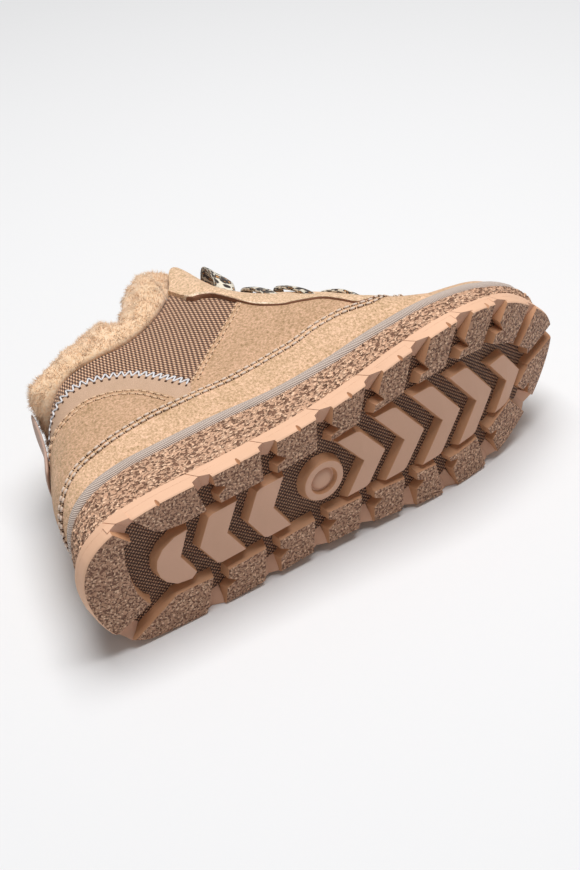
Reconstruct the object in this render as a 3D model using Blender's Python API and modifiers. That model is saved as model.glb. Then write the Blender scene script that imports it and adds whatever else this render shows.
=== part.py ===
"""A right winter sneaker, European size 36, lying on its medial side: a lugged rubber outsole, a pebbled
midsole, a twill-covered cord round the join, and a hollow fur-lined suede upper with its sewn panels.

Every piece is modelled in the shoe's own frame, in millimetres: X runs from the back of the heel to the
toe, +Y points to the medial (inner) side, Z points up and is 0 under the heel lugs. The empty
"shoe_frame" then lays the shoe down, so that the sole's edge and the collar both touch the ground.
"""

import math
from collections import namedtuple

import bmesh
import bpy
import numpy as np
from mathutils import Matrix, Vector

MM = 0.001

# Driving dimensions, in millimetres.
LENGTH = 254.0          # outsole, heel to toe
BALL_WIDTH = 90.0       # outsole, at the ball of the foot
INSTEP_HEIGHT = 150.0   # ground to the top corner of the lace facings
HEEL_HEIGHT = 99.0      # ground to the collar's edge at the back
WALL = 2.6              # upper: mesh or leather with its fleece backing
PANEL = 1.3             # suede panels sewn on the upper
GAP = 0.35              # clearance between pieces that meet
PANEL_GAP = 0.45        # clearance between the upper's wall and the panels sewn on it
UPPER_INSET = 9.4       # outsole edge to the upper's outer face at its foot
LUG_HEIGHT = 5.0
PLATE_TOP = 8.0         # outsole's side band, before its toe is bent up
CHEVRON_DROP = 0.5      # chevrons stand lower than the lugs
PIPING_RADIUS = 2.9
PIPING_INSET = 1.6      # outsole edge to the cord's outer side
TOE_BULGE = 3.2         # how far the midsole stands out over the outsole's edge at the toe
INSOLE_THICKNESS = 4.0
TOE_SPRING_START = 157.0
TOE_SPRING_RATE = 0.00207   # rise per millimetre squared ahead of the start
HEEL_BEVEL_END = 22.0
HEEL_BEVEL_RATE = 0.005
HEEL_RAKE = 0.29        # lean of the heel's back towards the toe, above the outsole
HEEL_RAKE_END = 45.0

TONGUE_THICKNESS = 5.0
TONGUE_STAND = 10.0     # how far the tongue stands above the highest lace

# The lay of the shoe on the ground, on its medial side.
LAY_ROLL = math.radians(-89.65)
LAY_YAW = math.radians(-3.94)

# One row for each section round the shoe, heel centre first and toe centre last. Both sides share it.
#   along: place of the outsole's edge, as a share of LENGTH
#   lateral, medial: that edge's distance from the middle line, as a share of BALL_WIDTH
#   band, seat: tops of the outsole's side band and of the midsole, in millimetres
#   rim_along, rim_out, rim_up: collar and throat edge, as shares of LENGTH, BALL_WIDTH, INSTEP_HEIGHT
#   side_in, side_up, side_swell and shoulder_...: two points up the section, as shares of the way from
#   the section's foot to its rim and of its height, and the swell outwards in millimetres
Section = namedtuple(
    "Section",
    "along lateral medial band seat rim_along rim_out rim_up "
    "side_in side_up side_swell shoulder_in shoulder_up shoulder_swell",
)
SECTIONS = [
    Section(*row)
    for row in (
        (0.000, 0.056, -0.056, 9.0, 25.0, 0.135, 0.000, 0.660, 0.10, 0.29, 2.8, 0.58, 0.70, 0.6),
        (0.018, 0.239, 0.176, 9.0, 25.2, 0.142, 0.162, 0.667, 0.12, 0.29, 2.8, 0.58, 0.70, 0.6),
        (0.067, 0.344, 0.336, 8.6, 26.5, 0.165, 0.262, 0.680, 0.15, 0.29, 2.9, 0.60, 0.69, 0.6),
        (0.142, 0.378, 0.381, 8.2, 28.6, 0.202, 0.309, 0.703, 0.20, 0.28, 3.1, 0.62, 0.68, 0.6),
        (0.236, 0.376, 0.398, 8.0, 29.4, 0.256, 0.322, 0.713, 0.33, 0.27, 3.3, 0.67, 0.66, 0.6),
        (0.335, 0.376, 0.394, 8.0, 28.6, 0.323, 0.317, 0.723, 0.33, 0.26, 3.3, 0.67, 0.64, 0.9),
        (0.433, 0.387, 0.389, 8.0, 25.6, 0.394, 0.311, 0.773, 0.25, 0.25, 3.5, 0.60, 0.62, 1.4),
        (0.528, 0.426, 0.411, 8.0, 23.3, 0.461, 0.296, 0.873, 0.22, 0.25, 4.1, 0.58, 0.64, 3.6),
        (0.622, 0.481, 0.459, 8.0, 21.8, 0.510, 0.275, 0.985, 0.20, 0.24, 5.1, 0.58, 0.60, 4.2),
        (0.709, 0.507, 0.494, 8.6, 21.0, 0.555, 0.211, 0.807, 0.15, 0.21, 5.1, 0.54, 0.61, 4.8),
        (0.795, 0.478, 0.492, 11.0, 22.4, 0.610, 0.183, 0.690, 0.13, 0.20, 5.0, 0.47, 0.51, 4.6),
        (0.872, 0.383, 0.420, 17.0, 27.6, 0.661, 0.155, 0.610, 0.12, 0.18, 4.5, 0.47, 0.48, 4.8),
        (0.939, 0.233, 0.298, 25.0, 33.2, 0.705, 0.117, 0.534, 0.08, 0.20, 3.3, 0.45, 0.49, 4.6),
        (0.984, 0.090, 0.156, 29.5, 36.0, 0.730, 0.062, 0.505, 0.05, 0.21, 2.3, 0.42, 0.50, 2.6),
        (0.998, -0.039, 0.039, 30.8, 37.0, 0.738, 0.000, 0.496, 0.04, 0.21, 1.8, 0.42, 0.54, 0.6),
    )
]
TOE = len(SECTIONS) - 1     # index of the toe's section; medial sections follow as TOE + 1, ...
AROUND = 2 * TOE            # sections in a full turn


def spring(x):
    """How far the tread rises from the ground: toe spring, and the bevel at the back of the heel."""
    toe = TOE_SPRING_RATE * np.clip(x - TOE_SPRING_START, 0, None) ** 2
    return toe + HEEL_BEVEL_RATE * np.clip(HEEL_BEVEL_END - x, 0, None) ** 2


def spline(values, at):
    """Reads a smooth closed curve through equally spaced values, one row for each knot."""
    values = np.asarray(values, float)
    count = len(values)
    at = np.asarray(at, float)
    knot = np.floor(at).astype(int)
    t = (at - knot).reshape(at.shape + (1,) * (values.ndim - 1))
    before, here, after, beyond = (values[(knot + step) % count] for step in (-1, 0, 1, 2))
    bend = 2 * before - 5 * here + 4 * after - beyond
    twist = -before + 3 * here - 3 * after + beyond
    return 0.5 * (2 * here + (after - before) * t + bend * t**2 + twist * t**3)


def both_sides(read):
    """One value for every section of a full turn: lateral sections, then the medial ones back."""
    lateral = [read(section, -1) for section in SECTIONS]
    medial = [read(section, 1) for section in SECTIONS[TOE - 1 : 0 : -1]]
    return np.array(lateral + medial, float)


def edge_point(section, side):
    out = section.lateral if side < 0 else section.medial
    return section.along * LENGTH, side * out * BALL_WIDTH


def rim_point(section, side):
    heel_share = (INSTEP_HEIGHT * 0.66 - HEEL_HEIGHT) * max(0.0, 1 - section.rim_along / 0.3)
    height = section.rim_up * INSTEP_HEIGHT - heel_share
    return section.rim_along * LENGTH, side * section.rim_out * BALL_WIDTH, height


EDGE = both_sides(edge_point)
RIM = both_sides(rim_point)
HEIGHTS = both_sides(lambda section, _side: (section.band, section.seat))
BAND, SEAT = 0, 1       # columns of HEIGHTS


def outline(at, inset=0.0, height=PLATE_TOP):
    """The outsole's edge in plan, moved inwards by the inset; above the outsole the heel leans forward."""
    step = 0.05
    along = spline(EDGE, at + step) - spline(EDGE, at - step)
    along /= np.linalg.norm(along, axis=-1, keepdims=True)
    inwards = np.stack([-along[..., 1], along[..., 0]], axis=-1)
    place = spline(EDGE, at) + inset * inwards
    fade = np.clip(1 - place[..., 0] / HEEL_RAKE_END, 0, 1)
    place[..., 0] += HEEL_RAKE * fade * np.clip(height - PLATE_TOP, 0, None)
    return place


def level(x, column):
    """Height of the outsole's band (BAND) or of the midsole's top (SEAT) at a place along the sole."""
    fine = np.linspace(0, TOE, 40 * TOE + 1)
    return np.interp(x, spline(EDGE, fine)[:, 0], spline(HEIGHTS, fine)[:, column])


def loop_at(at, inset, column, above=0.0):
    """A loop round the shoe that follows one of the sole's levels."""
    guess = level(outline(at, inset)[:, 0], column) + above
    plan = outline(at, inset, guess)
    return np.column_stack([plan, level(plan[:, 0], column) + above])


def section_points():
    """The upper's outer face on every section: foot, side, shoulder and rim."""
    at = np.arange(AROUND, dtype=float)
    foot = loop_at(at, UPPER_INSET, SEAT, GAP)
    outwards = outline(at, -1.0) - outline(at)
    rings = [foot]
    for name in ("side", "shoulder"):
        inwards, rise, swell = (
            both_sides(lambda section, _side, key=key: getattr(section, f"{name}_{key}"))
            for key in ("in", "up", "swell")
        )
        ring = foot + (RIM - foot) * np.column_stack([inwards, inwards, rise])
        ring[:, :2] += outwards * swell[:, None]
        rings.append(ring)
    rings.append(RIM)
    return np.stack(rings, axis=1)


CAGE = section_points()
RING_PLACES = np.array([0.0, 0.28, 0.64, 1.0])


def up_section(rings, v):
    """Reads a smooth curve through a section's four rings; v runs from 0 at its foot to 1 at its rim."""
    place = RING_PLACES
    slopes = np.diff(rings, axis=-2) / np.diff(place)[:, None]
    first = 1.5 * slopes[..., 0, :] - 0.5 * slopes[..., 1, :]
    last = 1.5 * slopes[..., 2, :] - 0.5 * slopes[..., 1, :]
    inner = 0.5 * (slopes[..., :-1, :] + slopes[..., 1:, :])
    tangents = np.concatenate([first[..., None, :], inner, last[..., None, :]], axis=-2)
    span = np.clip(np.searchsorted(place, v, side="right") - 1, 0, 2)
    width = place[span + 1] - place[span]
    t = ((v - place[span]) / width)[..., None]
    width = width[..., None]
    pick = np.arange(len(v))
    start, end = rings[pick, span], rings[pick, span + 1]
    leave, arrive = tangents[pick, span] * width, tangents[pick, span + 1] * width
    rise = end - start
    return start + leave * t + (3 * rise - 2 * leave - arrive) * t**2 + (leave + arrive - 2 * rise) * t**3


def upper_point(at, v, offset=0.0):
    """A point of the upper's outer face, moved outwards by the offset."""
    at, v = np.broadcast_arrays(np.asarray(at, float), np.asarray(v, float))
    shape = at.shape
    at, v = at.ravel(), v.ravel()
    point = up_section(spline(CAGE, at), v)
    if np.any(offset):
        step = 0.02
        round_the_shoe = up_section(spline(CAGE, at + step), v) - up_section(spline(CAGE, at - step), v)
        low, high = np.clip(v - step, 0, 1), np.clip(v + step, 0, 1)
        rings = spline(CAGE, at)
        upwards = up_section(rings, high) - up_section(rings, low)
        normal = np.cross(round_the_shoe, upwards)
        normal /= np.linalg.norm(normal, axis=1, keepdims=True)
        point = point + normal * np.broadcast_to(offset, shape).ravel()[:, None]
    return point.reshape(shape + (3,))


# Panel edges on the upper, as (section, v) pairs; the medial side mirrors the lateral one.
SEAM = ((0, 0.20), (1, 0.24), (2, 0.29), (3, 0.31), (4, 0.335), (5, 0.34), (6, 0.335), (7, 0.295),
        (8, 0.265), (9, 0.31), (10, 0.50), (11, 0.69), (12, 0.81), (13, 0.85), (14, 0.86))
COUNTER_TOP = ((0, 0.60), (1, 0.62), (1.8, 0.66), (2.45, 0.71), (3.1, 0.69), (3.65, 0.65), (4.1, 0.58),
               (4.4, 0.50), (4.7, 0.40), (4.8, 0.37))
STRIP_TOP = ((0, 0.73), (1, 0.76), (2, 0.82), (2.8, 0.845), (3.25, 0.83), (3.75, 0.79), (4.2, 0.74),
             (4.6, 0.67), (4.9, 0.58), (5.1, 0.49), (5.2, 0.41))
QUARTER_REAR = ((5.25, 0.42), (5.65, 0.555), (6.15, 0.60), (6.65, 0.62), (7.4, 0.635))
FACING_EDGE = ((7.0, 0.86), (7.25, 0.77), (7.5, 0.62), (7.75, 0.50), (8.0, 0.46), (8.5, 0.455), (9.0, 0.33))
SEAM_GAP = 0.012        # share of a section between two panels that meet edge to edge


def from_heel(at):
    """Sections counted from the heel's, the same on both sides."""
    at = np.abs(np.asarray(at, float))
    return np.minimum(at, AROUND - at)


def edge_height(edge, at):
    """The height v of a panel edge at the section, the same on both sides."""
    places, heights = zip(*edge)
    return np.interp(from_heel(at), places, heights)


def facing_foot(at):
    """Lower edge of the lace facing: its own edge behind, and the vamp's seam in front."""
    seam = edge_height(SEAM, at) + SEAM_GAP
    return np.where(from_heel(at) < 9.0, np.maximum(edge_height(FACING_EDGE, at), seam), seam)


def quarter_top(at):
    """Upper edge of the quarter: slanted beside the mesh, then along the facing."""
    facing = facing_foot(at) - SEAM_GAP
    return np.where(from_heel(at) < 7.0, edge_height(QUARTER_REAR, at), np.minimum(facing, 0.635))


# ---------------------------------------------------------------- building blocks

# Sections and heights where every piece of the upper has its edges, so that neighbours' faces match.
HALF_TURN = sorted([*np.arange(0, TOE + 1, 0.5), 4.75, 5.25, 7.25, 7.75])
COLUMNS = np.array(HALF_TURN + [AROUND - at for at in HALF_TURN[-2:0:-1]])
HEIGHT_LINES = np.linspace(0, 1, 9)


def make_mesh(name, points, faces, collection, colour, roughness=0.8, closed=True):
    """A new object from points in millimetres of the shoe's frame, with its own material."""
    mesh = bpy.data.meshes.new(name)
    mesh.from_pydata([Vector(point) * MM for point in points], [], faces)
    mesh.update()
    body = bmesh.new()
    body.from_mesh(mesh)
    bmesh.ops.remove_doubles(body, verts=body.verts, dist=0.02 * MM)
    bmesh.ops.dissolve_degenerate(body, edges=body.edges, dist=0.01 * MM)
    before = {face: face.normal.copy() for face in body.faces}
    bmesh.ops.recalc_face_normals(body, faces=body.faces)
    turned = sum(face.normal.dot(before[face]) < 0 for face in body.faces)
    if not closed and turned > len(body.faces) / 2:
        bmesh.ops.reverse_faces(body, faces=body.faces)
    body.to_mesh(mesh)
    body.free()
    piece = bpy.data.objects.new(name, mesh)
    collection.objects.link(piece)
    finish = bpy.data.materials.new(name)
    finish.use_nodes = True
    shader = finish.node_tree.nodes["Principled BSDF"]
    shader.inputs["Base Color"].default_value = (*colour, 1.0)
    shader.inputs["Roughness"].default_value = roughness
    mesh.materials.append(finish)
    return piece


def ladder(count, first, flip=False):
    """Faces that close a loop of points with rungs from its lateral to its medial side."""
    faces = []
    for step in range(count // 2):
        far = (count - step) % count
        corners = [first + step, first + step + 1, first + count - step - 1, first + far]
        corners = list(dict.fromkeys(corners))
        faces.append(corners[::-1] if flip else corners)
    return [face for face in faces if len(face) > 2]


def loft_faces(loops, count, closed=True):
    """Side faces between loops of points that follow each other."""
    turns = count if closed else count - 1
    return [
        (
            loop * count + step,
            loop * count + (step + 1) % count,
            (loop + 1) * count + (step + 1) % count,
            (loop + 1) * count + step,
        )
        for loop in range(loops - 1)
        for step in range(turns)
    ]


def stacked_loops(loops):
    """A closed solid from level loops round the shoe, lowest first."""
    count = len(loops[0])
    faces = loft_faces(len(loops), count)
    faces += ladder(count, 0, flip=True) + ladder(count, (len(loops) - 1) * count)
    return np.concatenate(loops), faces


def with_height(plan, height):
    return np.column_stack([plan, np.broadcast_to(height, len(plan))])


def thicken(piece, thickness, outwards=True):
    """Gives an open sheet its thickness."""
    wall = piece.modifiers.new("wall", "SOLIDIFY")
    wall.thickness = thickness * MM
    wall.offset = 1.0 if outwards else -1.0
    return piece


def on_facets(at, v, offset):
    """A point on the upper's flat facets: between its height lines the section is straight."""
    lines = upper_point(at[:, None], HEIGHT_LINES[None, :], offset)
    place = np.clip(v, 0, 1) * (len(HEIGHT_LINES) - 1)
    low = np.minimum(place.astype(int), len(HEIGHT_LINES) - 2)
    share = (place - low)[..., None]
    pick = np.arange(len(at))[:, None]
    return lines[pick, low] * (1 - share) + lines[pick, low + 1] * share


def upper_sheet(name, sections, foot, rim, offset, collection, colour, closed=False):
    """A panel of the upper's own function between two edges, given by their height at each section."""
    heights = np.clip(HEIGHT_LINES[None, :], foot[:, None], rim[:, None])
    grid = on_facets(sections, heights, offset)
    points = grid.transpose(1, 0, 2).reshape(-1, 3)
    faces = loft_faces(len(HEIGHT_LINES), len(sections), closed)
    return make_mesh(name, points, faces, collection, colour, closed=False)


def columns_between(first, last):
    """The shared sections from one place to another; a place under zero is on the medial side."""
    every = np.concatenate([COLUMNS - AROUND, COLUMNS])
    return every[(every > first - 0.01) & (every < last + 0.01)]


def bake(piece):
    """Applies a piece's modifiers and forgets them."""
    evaluated = piece.evaluated_get(bpy.context.evaluated_depsgraph_get())
    mesh = bpy.data.meshes.new_from_object(evaluated)
    piece.modifiers.clear()
    piece.data = mesh
    return piece


def combine(piece, cutter, operation):
    """Cuts or joins a piece with another, which is then removed."""
    boolean = piece.modifiers.new(operation.lower(), "BOOLEAN")
    boolean.operation = operation
    boolean.object = cutter
    bake(piece)
    bpy.data.objects.remove(cutter)
    return piece


def prism(name, corners, bottom, top, collection, top_grow=0.0):
    """An upright prism from its plan; its top may be larger all round, as a moulded wall's draft."""
    corners = np.asarray(corners, float)
    centre = corners.mean(axis=0)
    away = corners - centre
    grown = corners + top_grow * away / np.linalg.norm(away, axis=1, keepdims=True)
    count = len(corners)
    points = np.concatenate([with_height(corners, bottom), with_height(grown, top)])
    faces = loft_faces(2, count) + [tuple(range(count))[::-1], tuple(range(count, 2 * count))]
    return make_mesh(name, points, faces, collection, (0.5, 0.5, 0.5))


# ---------------------------------------------------------------- the sole

# Tread grooves: edge of the sole, then inner end, in millimetres from the heel and from the middle line.
Groove = namedtuple("Groove", "edge_x edge_y inner_x inner_y width")
LATERAL_GROOVES = [
    Groove(*row)
    for row in (
        (14, -41, 34, -15, 5.5), (57, -40, 61, -14, 5.0), (89, -40, 87, -14, 5.0), (117, -42, 113, -14, 5.0),
        (144, -47, 134, -18, 5.0), (169, -52, 157, -20, 5.5), (194, -51, 179, -20, 5.5),
        (218, -44, 201, -18, 5.5), (244, -27, 222, -8, 5.0),
    )
]
MEDIAL_GROOVES = [
    Groove(*row)
    for row in (
        (4, 28, 36, 12, 6.0), (51, 40, 59, 13, 5.5), (80, 41, 84, 13, 5.0), (105, 41, 109, 11, 5.0),
        (129, 42, 133, 14, 5.0), (152, 47, 156, 16, 5.0), (178, 50, 172, 18, 5.5),
        (206, 50, 197, 20, 5.5), (238, 38, 220, 15, 5.5), (259, 2, 227, 5, 4.5),
    )
]
# The channel between the two rows of lugs: place along the sole, lateral and medial edges.
CHANNEL = (
    (20.0, -7.0, 2.0), (24.0, -13.0, 8.0), (36.0, -17.0, 14.5), (60.0, -17.3, 17.0), (90.0, -17.0, 16.5),
    (112.0, -18.0, 16.0), (132.0, -20.5, 18.0), (158.0, -24.0, 21.5), (182.0, -25.0, 24.5),
    (204.0, -21.0, 23.0), (218.0, -13.0, 17.0), (231.0, -1.0, 8.0),
)
# Chevrons: tip and notch along the sole, the tip's distance from the middle line, and both half-widths.
Chevron = namedtuple("Chevron", "tip notch middle lateral medial sweep")
CHEVRONS = [
    Chevron(*row)
    for row in (
        (30.5, 42.0, -1.5, 12.5, 12.0, 0.42), (50.5, 64.5, -1.0, 14.0, 14.0, 0.50),
        (73.5, 87.0, -0.8, 14.0, 14.0, 0.50), (144.0, 132.0, 0.2, 17.5, 15.0, 0.70),
        (165.0, 153.3, 0.8, 20.5, 17.0, 0.70), (186.0, 174.5, 2.2, 22.5, 18.5, 0.70),
        (206.5, 195.3, 4.2, 22.5, 18.0, 0.70), (226.5, 216.0, 6.5, 16.5, 13.0, 0.70),
    )
]
DISC = (112.0, -0.5)
DISC_RADIUS = 9.5
TREAD_COLOUR = (0.42, 0.25, 0.17)


def groove_corners(groove):
    """Plan of a groove: a bar that widens towards the sole's edge."""
    start = Vector((groove.edge_x, groove.edge_y))
    end = Vector((groove.inner_x, groove.inner_y))
    along = (end - start).normalized()
    across = Vector((-along.y, along.x)) * groove.width / 2
    return [start + across * 1.25, start - across * 1.25, end - across, end + across]


def chevron_corners(chevron):
    """Plan of a chevron: two swept arms that meet in a tip, with their outer corners cut off."""
    back = chevron.notch - chevron.tip
    sweep = math.copysign(chevron.sweep, back)
    corners = []
    for side, reach in ((-1, chevron.lateral), (1, chevron.medial)):
        y = chevron.middle + side * reach
        inner_y = chevron.middle + side * (reach - 3.0)
        arm = [
            (chevron.tip + sweep * (reach - 3.0), inner_y),
            (chevron.tip + sweep * reach + back * 0.28, y),
            (chevron.notch + sweep * reach, y),
        ]
        corners.append(arm)
    lateral, medial = corners
    return [(chevron.tip, chevron.middle), *lateral, (chevron.notch, chevron.middle), *medial[::-1]]


def bend_up(piece):
    """Lifts the flat-built outsole to its toe spring, and its band to the band's height."""
    for vertex in piece.data.vertices:
        x, z = vertex.co.x / MM, vertex.co.z / MM
        lift = float(spring(x))
        if z > LUG_HEIGHT:
            share = (z - LUG_HEIGHT) / (PLATE_TOP - LUG_HEIGHT)
            z = LUG_HEIGHT + share * (float(level(x, BAND)) - LUG_HEIGHT - lift)
        vertex.co.z = (z + lift) * MM
    return piece


def make_outsole(parts, cutters):
    around = np.arange(0, AROUND, 0.5)
    edge = outline(around)
    lug_edge = outline(around, 0.1)
    bottom = outline(around, 0.6)
    flush = outline(around, 0.4)
    layers = [with_height(bottom, 0.0), with_height(lug_edge, 1.0), with_height(flush, LUG_HEIGHT + 0.4)]
    lugs = make_mesh("outsole", *stacked_loops(layers), parts, TREAD_COLOUR, 0.75)
    middle = [(x, lateral) for x, lateral, _medial in CHANNEL] + [(x, medial) for x, _, medial in CHANNEL[::-1]]
    combine(lugs, prism("channel", middle, -2.0, LUG_HEIGHT + 2.0, cutters), "DIFFERENCE")
    for groove in LATERAL_GROOVES + MEDIAL_GROOVES:
        cutter = prism("groove", groove_corners(groove), -2.0, LUG_HEIGHT + 2.0, cutters)
        combine(lugs, cutter, "DIFFERENCE")
    layers = [with_height(edge, height) for height in (LUG_HEIGHT, PLATE_TOP)]
    combine(lugs, make_mesh("plate", *stacked_loops(layers), cutters, TREAD_COLOUR), "UNION")
    for chevron in CHEVRONS:
        bar = prism("chevron", chevron_corners(chevron), CHEVRON_DROP, LUG_HEIGHT + 0.4, cutters, 0.8)
        combine(lugs, bar, "UNION")
    turn = np.linspace(0, 2 * math.pi, 25)[:-1]
    ring = np.column_stack([np.cos(turn), np.sin(turn)])
    boss = prism("boss", ring * DISC_RADIUS + DISC, CHEVRON_DROP, LUG_HEIGHT + 0.4, cutters, 1.6)
    combine(lugs, boss, "UNION")
    dish = prism("dish", ring * DISC_RADIUS * 0.66 + DISC, -1.0, CHEVRON_DROP + 1.2, cutters)
    combine(lugs, dish, "DIFFERENCE")
    return bend_up(lugs)


def toe_bulge(at):
    """How far the midsole and the cord stand out round the toe, over what they do at the sides."""
    return TOE_BULGE * np.clip((outline(at)[:, 0] - 222.0) / 22.0, 0, 1)


def make_midsole(parts):
    around = np.arange(0, AROUND, 0.5)
    bulge = toe_bulge(around)[:, None]
    foot, top = loop_at(around, 1.6, BAND, GAP), loop_at(around, 2.6 - bulge, SEAT)
    loops = [foot]
    for share, inset in ((0.35, 1.5), (0.75, 1.7)):
        ring = foot + (top - foot) * share
        ring[:, :2] = outline(around, inset - bulge, ring[:, 2])
        loops.append(ring)
    return make_mesh("midsole", *stacked_loops([*loops, top]), parts, (0.62, 0.40, 0.28))


def make_piping(parts):
    """The cord round the join: a round section carried round the shoe on the midsole's edge."""
    around = np.arange(0, AROUND, 0.5)
    bulge = toe_bulge(around)[:, None]
    loops = []
    for turn in np.linspace(0, 2 * math.pi, 9)[:-1]:
        inset = PIPING_INSET - bulge + PIPING_RADIUS * (1 - math.cos(turn))
        loop = loop_at(around, inset, SEAT, PIPING_RADIUS + GAP)
        loop[:, 2] += PIPING_RADIUS * math.sin(turn)
        loops.append(loop)
    count = len(around)
    points = np.concatenate(loops)
    faces = [tuple(corner % len(points) for corner in face) for face in loft_faces(9, count)]
    return make_mesh("piping", points, faces, parts, (0.55, 0.47, 0.42))


def make_insole(parts):
    around = np.arange(0, AROUND, 0.5)
    inset = UPPER_INSET + WALL + GAP + 0.8
    loops = [loop_at(around, inset, SEAT, 0.5 + rise) for rise in (0.0, INSOLE_THICKNESS)]
    return make_mesh("insole", *stacked_loops(loops), parts, (0.72, 0.58, 0.42))


# ---------------------------------------------------------------- the upper

SUEDE = (0.58, 0.43, 0.29)
FUR = (0.74, 0.57, 0.38)


def make_upper(parts):
    """The hollow wall: open along the foot, and at the collar and throat, which are one opening."""
    foot, rim = np.zeros(len(COLUMNS)), np.ones(len(COLUMNS))
    sheet = upper_sheet("upper", COLUMNS, foot, rim, 0.0, parts, (0.36, 0.25, 0.18), closed=True)
    return thicken(sheet, WALL, outwards=False)


def above_the_cord(at):
    """The height at each section where a panel clears the cord below it."""
    fine = np.linspace(0, 0.4, 81)
    rise = upper_point(at[:, None], fine[None, :])[..., 2]
    rise -= rise[:, :1]
    needed = 2 * PIPING_RADIUS + 2 * GAP
    return np.array([np.interp(needed, row, fine) for row in rise])


def make_panels(parts):
    """The suede and leather pieces sewn on the wall."""
    seam = edge_height(SEAM, COLUMNS)
    sheet = upper_sheet("vamp", COLUMNS, above_the_cord(COLUMNS), seam, PANEL_GAP, parts, SUEDE, closed=True)
    thicken(sheet, PANEL)
    heel = columns_between(-4.75, 4.75)
    low, high = edge_height(SEAM, heel) + SEAM_GAP, edge_height(COUNTER_TOP, heel)
    thicken(upper_sheet("heel_counter", heel, low, high, PANEL_GAP, parts, SUEDE), PANEL)
    strip = columns_between(-5.25, 5.25)
    low = np.where(abs(strip) < 4.8, edge_height(COUNTER_TOP, strip), edge_height(SEAM, strip)) + SEAM_GAP
    high = edge_height(STRIP_TOP, strip)
    thicken(upper_sheet("collar_strip", strip, low, high, PANEL_GAP, parts, (0.5, 0.36, 0.25)), PANEL - 0.3)
    for name, first, last in (("quarter_lateral", 5.5, 8.5), ("quarter_medial", -8.5, -5.5)):
        sections = columns_between(first, last)
        low = edge_height(SEAM, sections) + SEAM_GAP
        thicken(upper_sheet(name, sections, low, quarter_top(sections), PANEL_GAP, parts, SUEDE), PANEL)
    throat = columns_between(7.0, AROUND - 7.0)
    low, high = facing_foot(throat), np.ones(len(throat))
    sheet = upper_sheet("lace_facing", throat, low, high, PANEL_GAP, parts, SUEDE)
    thicken(sheet, PANEL + 0.5)


def make_heel_tab(parts):
    """A pull tab sewn on the counter, standing off the collar towards its top."""
    across = np.linspace(-0.62, 0.62, 7)
    up = np.array([0.42, 0.50, 0.60, 0.72, 0.84, 0.96])
    stand = np.array([2.1, 2.1, 2.3, 3.6, 5.2, 6.4])
    grid = upper_point((across[:, None] % AROUND), up[None, :], np.broadcast_to(stand, (7, 6)))
    grid[:, -1, 2] += 4.0
    points = grid.transpose(1, 0, 2).reshape(-1, 3)
    faces = loft_faces(6, 7, closed=False)
    sheet = make_mesh("heel_tab", points, faces, parts, (0.42, 0.34, 0.3), closed=False)
    return thicken(sheet, 1.6)


def make_fur_collar(parts):
    """The fleece that rolls over the collar's edge, with its locks drawn out of the roll."""
    reach = 6.95
    sections = np.linspace(-reach, reach, 45)
    rim = upper_point(sections % AROUND, np.ones(len(sections)))
    step = upper_point((sections + 0.05) % AROUND, 1.0) - upper_point((sections - 0.05) % AROUND, 1.0)
    step[:, 2] = 0.0
    step /= np.linalg.norm(step, axis=1, keepdims=True)
    inwards = np.column_stack([-step[:, 1], step[:, 0], np.zeros(len(step))])
    profile = (
        (-0.8, 0.6), (-3.0, 4.0), (-3.2, 9.0), (-1.0, 14.5), (2.8, 17.5), (6.2, 16.0),
        (8.4, 11.0), (8.8, 4.0), (8.0, -5.0), (6.8, -13.0), (4.6, -14.0), (4.2, -5.0), (3.6, 0.6),
    )
    swell = 1.06 + 0.17 * np.sin(sections * 2.3 + 0.6) + 0.10 * np.sin(sections * 5.1)
    ends = np.clip((reach - abs(sections)) / 0.5, 0.45, 1.0)
    loops = []
    for inward, rise in profile:
        puff = np.where(rise > 2.0, swell * ends, 1.0)
        outwards_puff = puff if inward < 0 else np.ones(len(sections))
        loop = rim + inwards * (inward * outwards_puff)[:, None]
        loop[:, 2] += rise * puff
        loops.append(loop)
    points = np.stack(loops, axis=1).reshape(-1, 3)
    count = len(profile)
    faces = loft_faces(len(sections), count)
    faces += [tuple(range(count))[::-1], tuple(range(len(points) - count, len(points)))]
    fleece = make_mesh("fur_collar", points, faces, parts, FUR, 0.95)
    return draw_locks(fleece, crown_faces(len(sections) - 1, count, range(1, 6)), 5.0)


def crown_faces(steps, count, crown):
    """Every other face of a lofted fleece's crown, staggered from one step to the next."""
    places = [(step, turn) for step in range(steps) for turn in crown if (step + turn) % 2 == 0]
    return [step * count + turn for step, turn in places]


def draw_locks(piece, places, length):
    """Draws some faces of a fleece out into tapered locks, fused with it."""
    body = bmesh.new()
    body.from_mesh(piece.data)
    body.normal_update()
    body.faces.ensure_lookup_table()
    chosen = [body.faces[place] for place in places]
    for face in bmesh.ops.extrude_discrete_faces(body, faces=chosen)["faces"]:
        centre, normal = face.calc_center_median(), face.normal.copy()
        tip = centre + (normal + Vector((0.0, 0.0, 0.25))).normalized() * length * MM
        for corner in face.verts:
            corner.co = tip + (corner.co - centre) * 0.4
    body.to_mesh(piece.data)
    body.free()
    return piece


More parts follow.
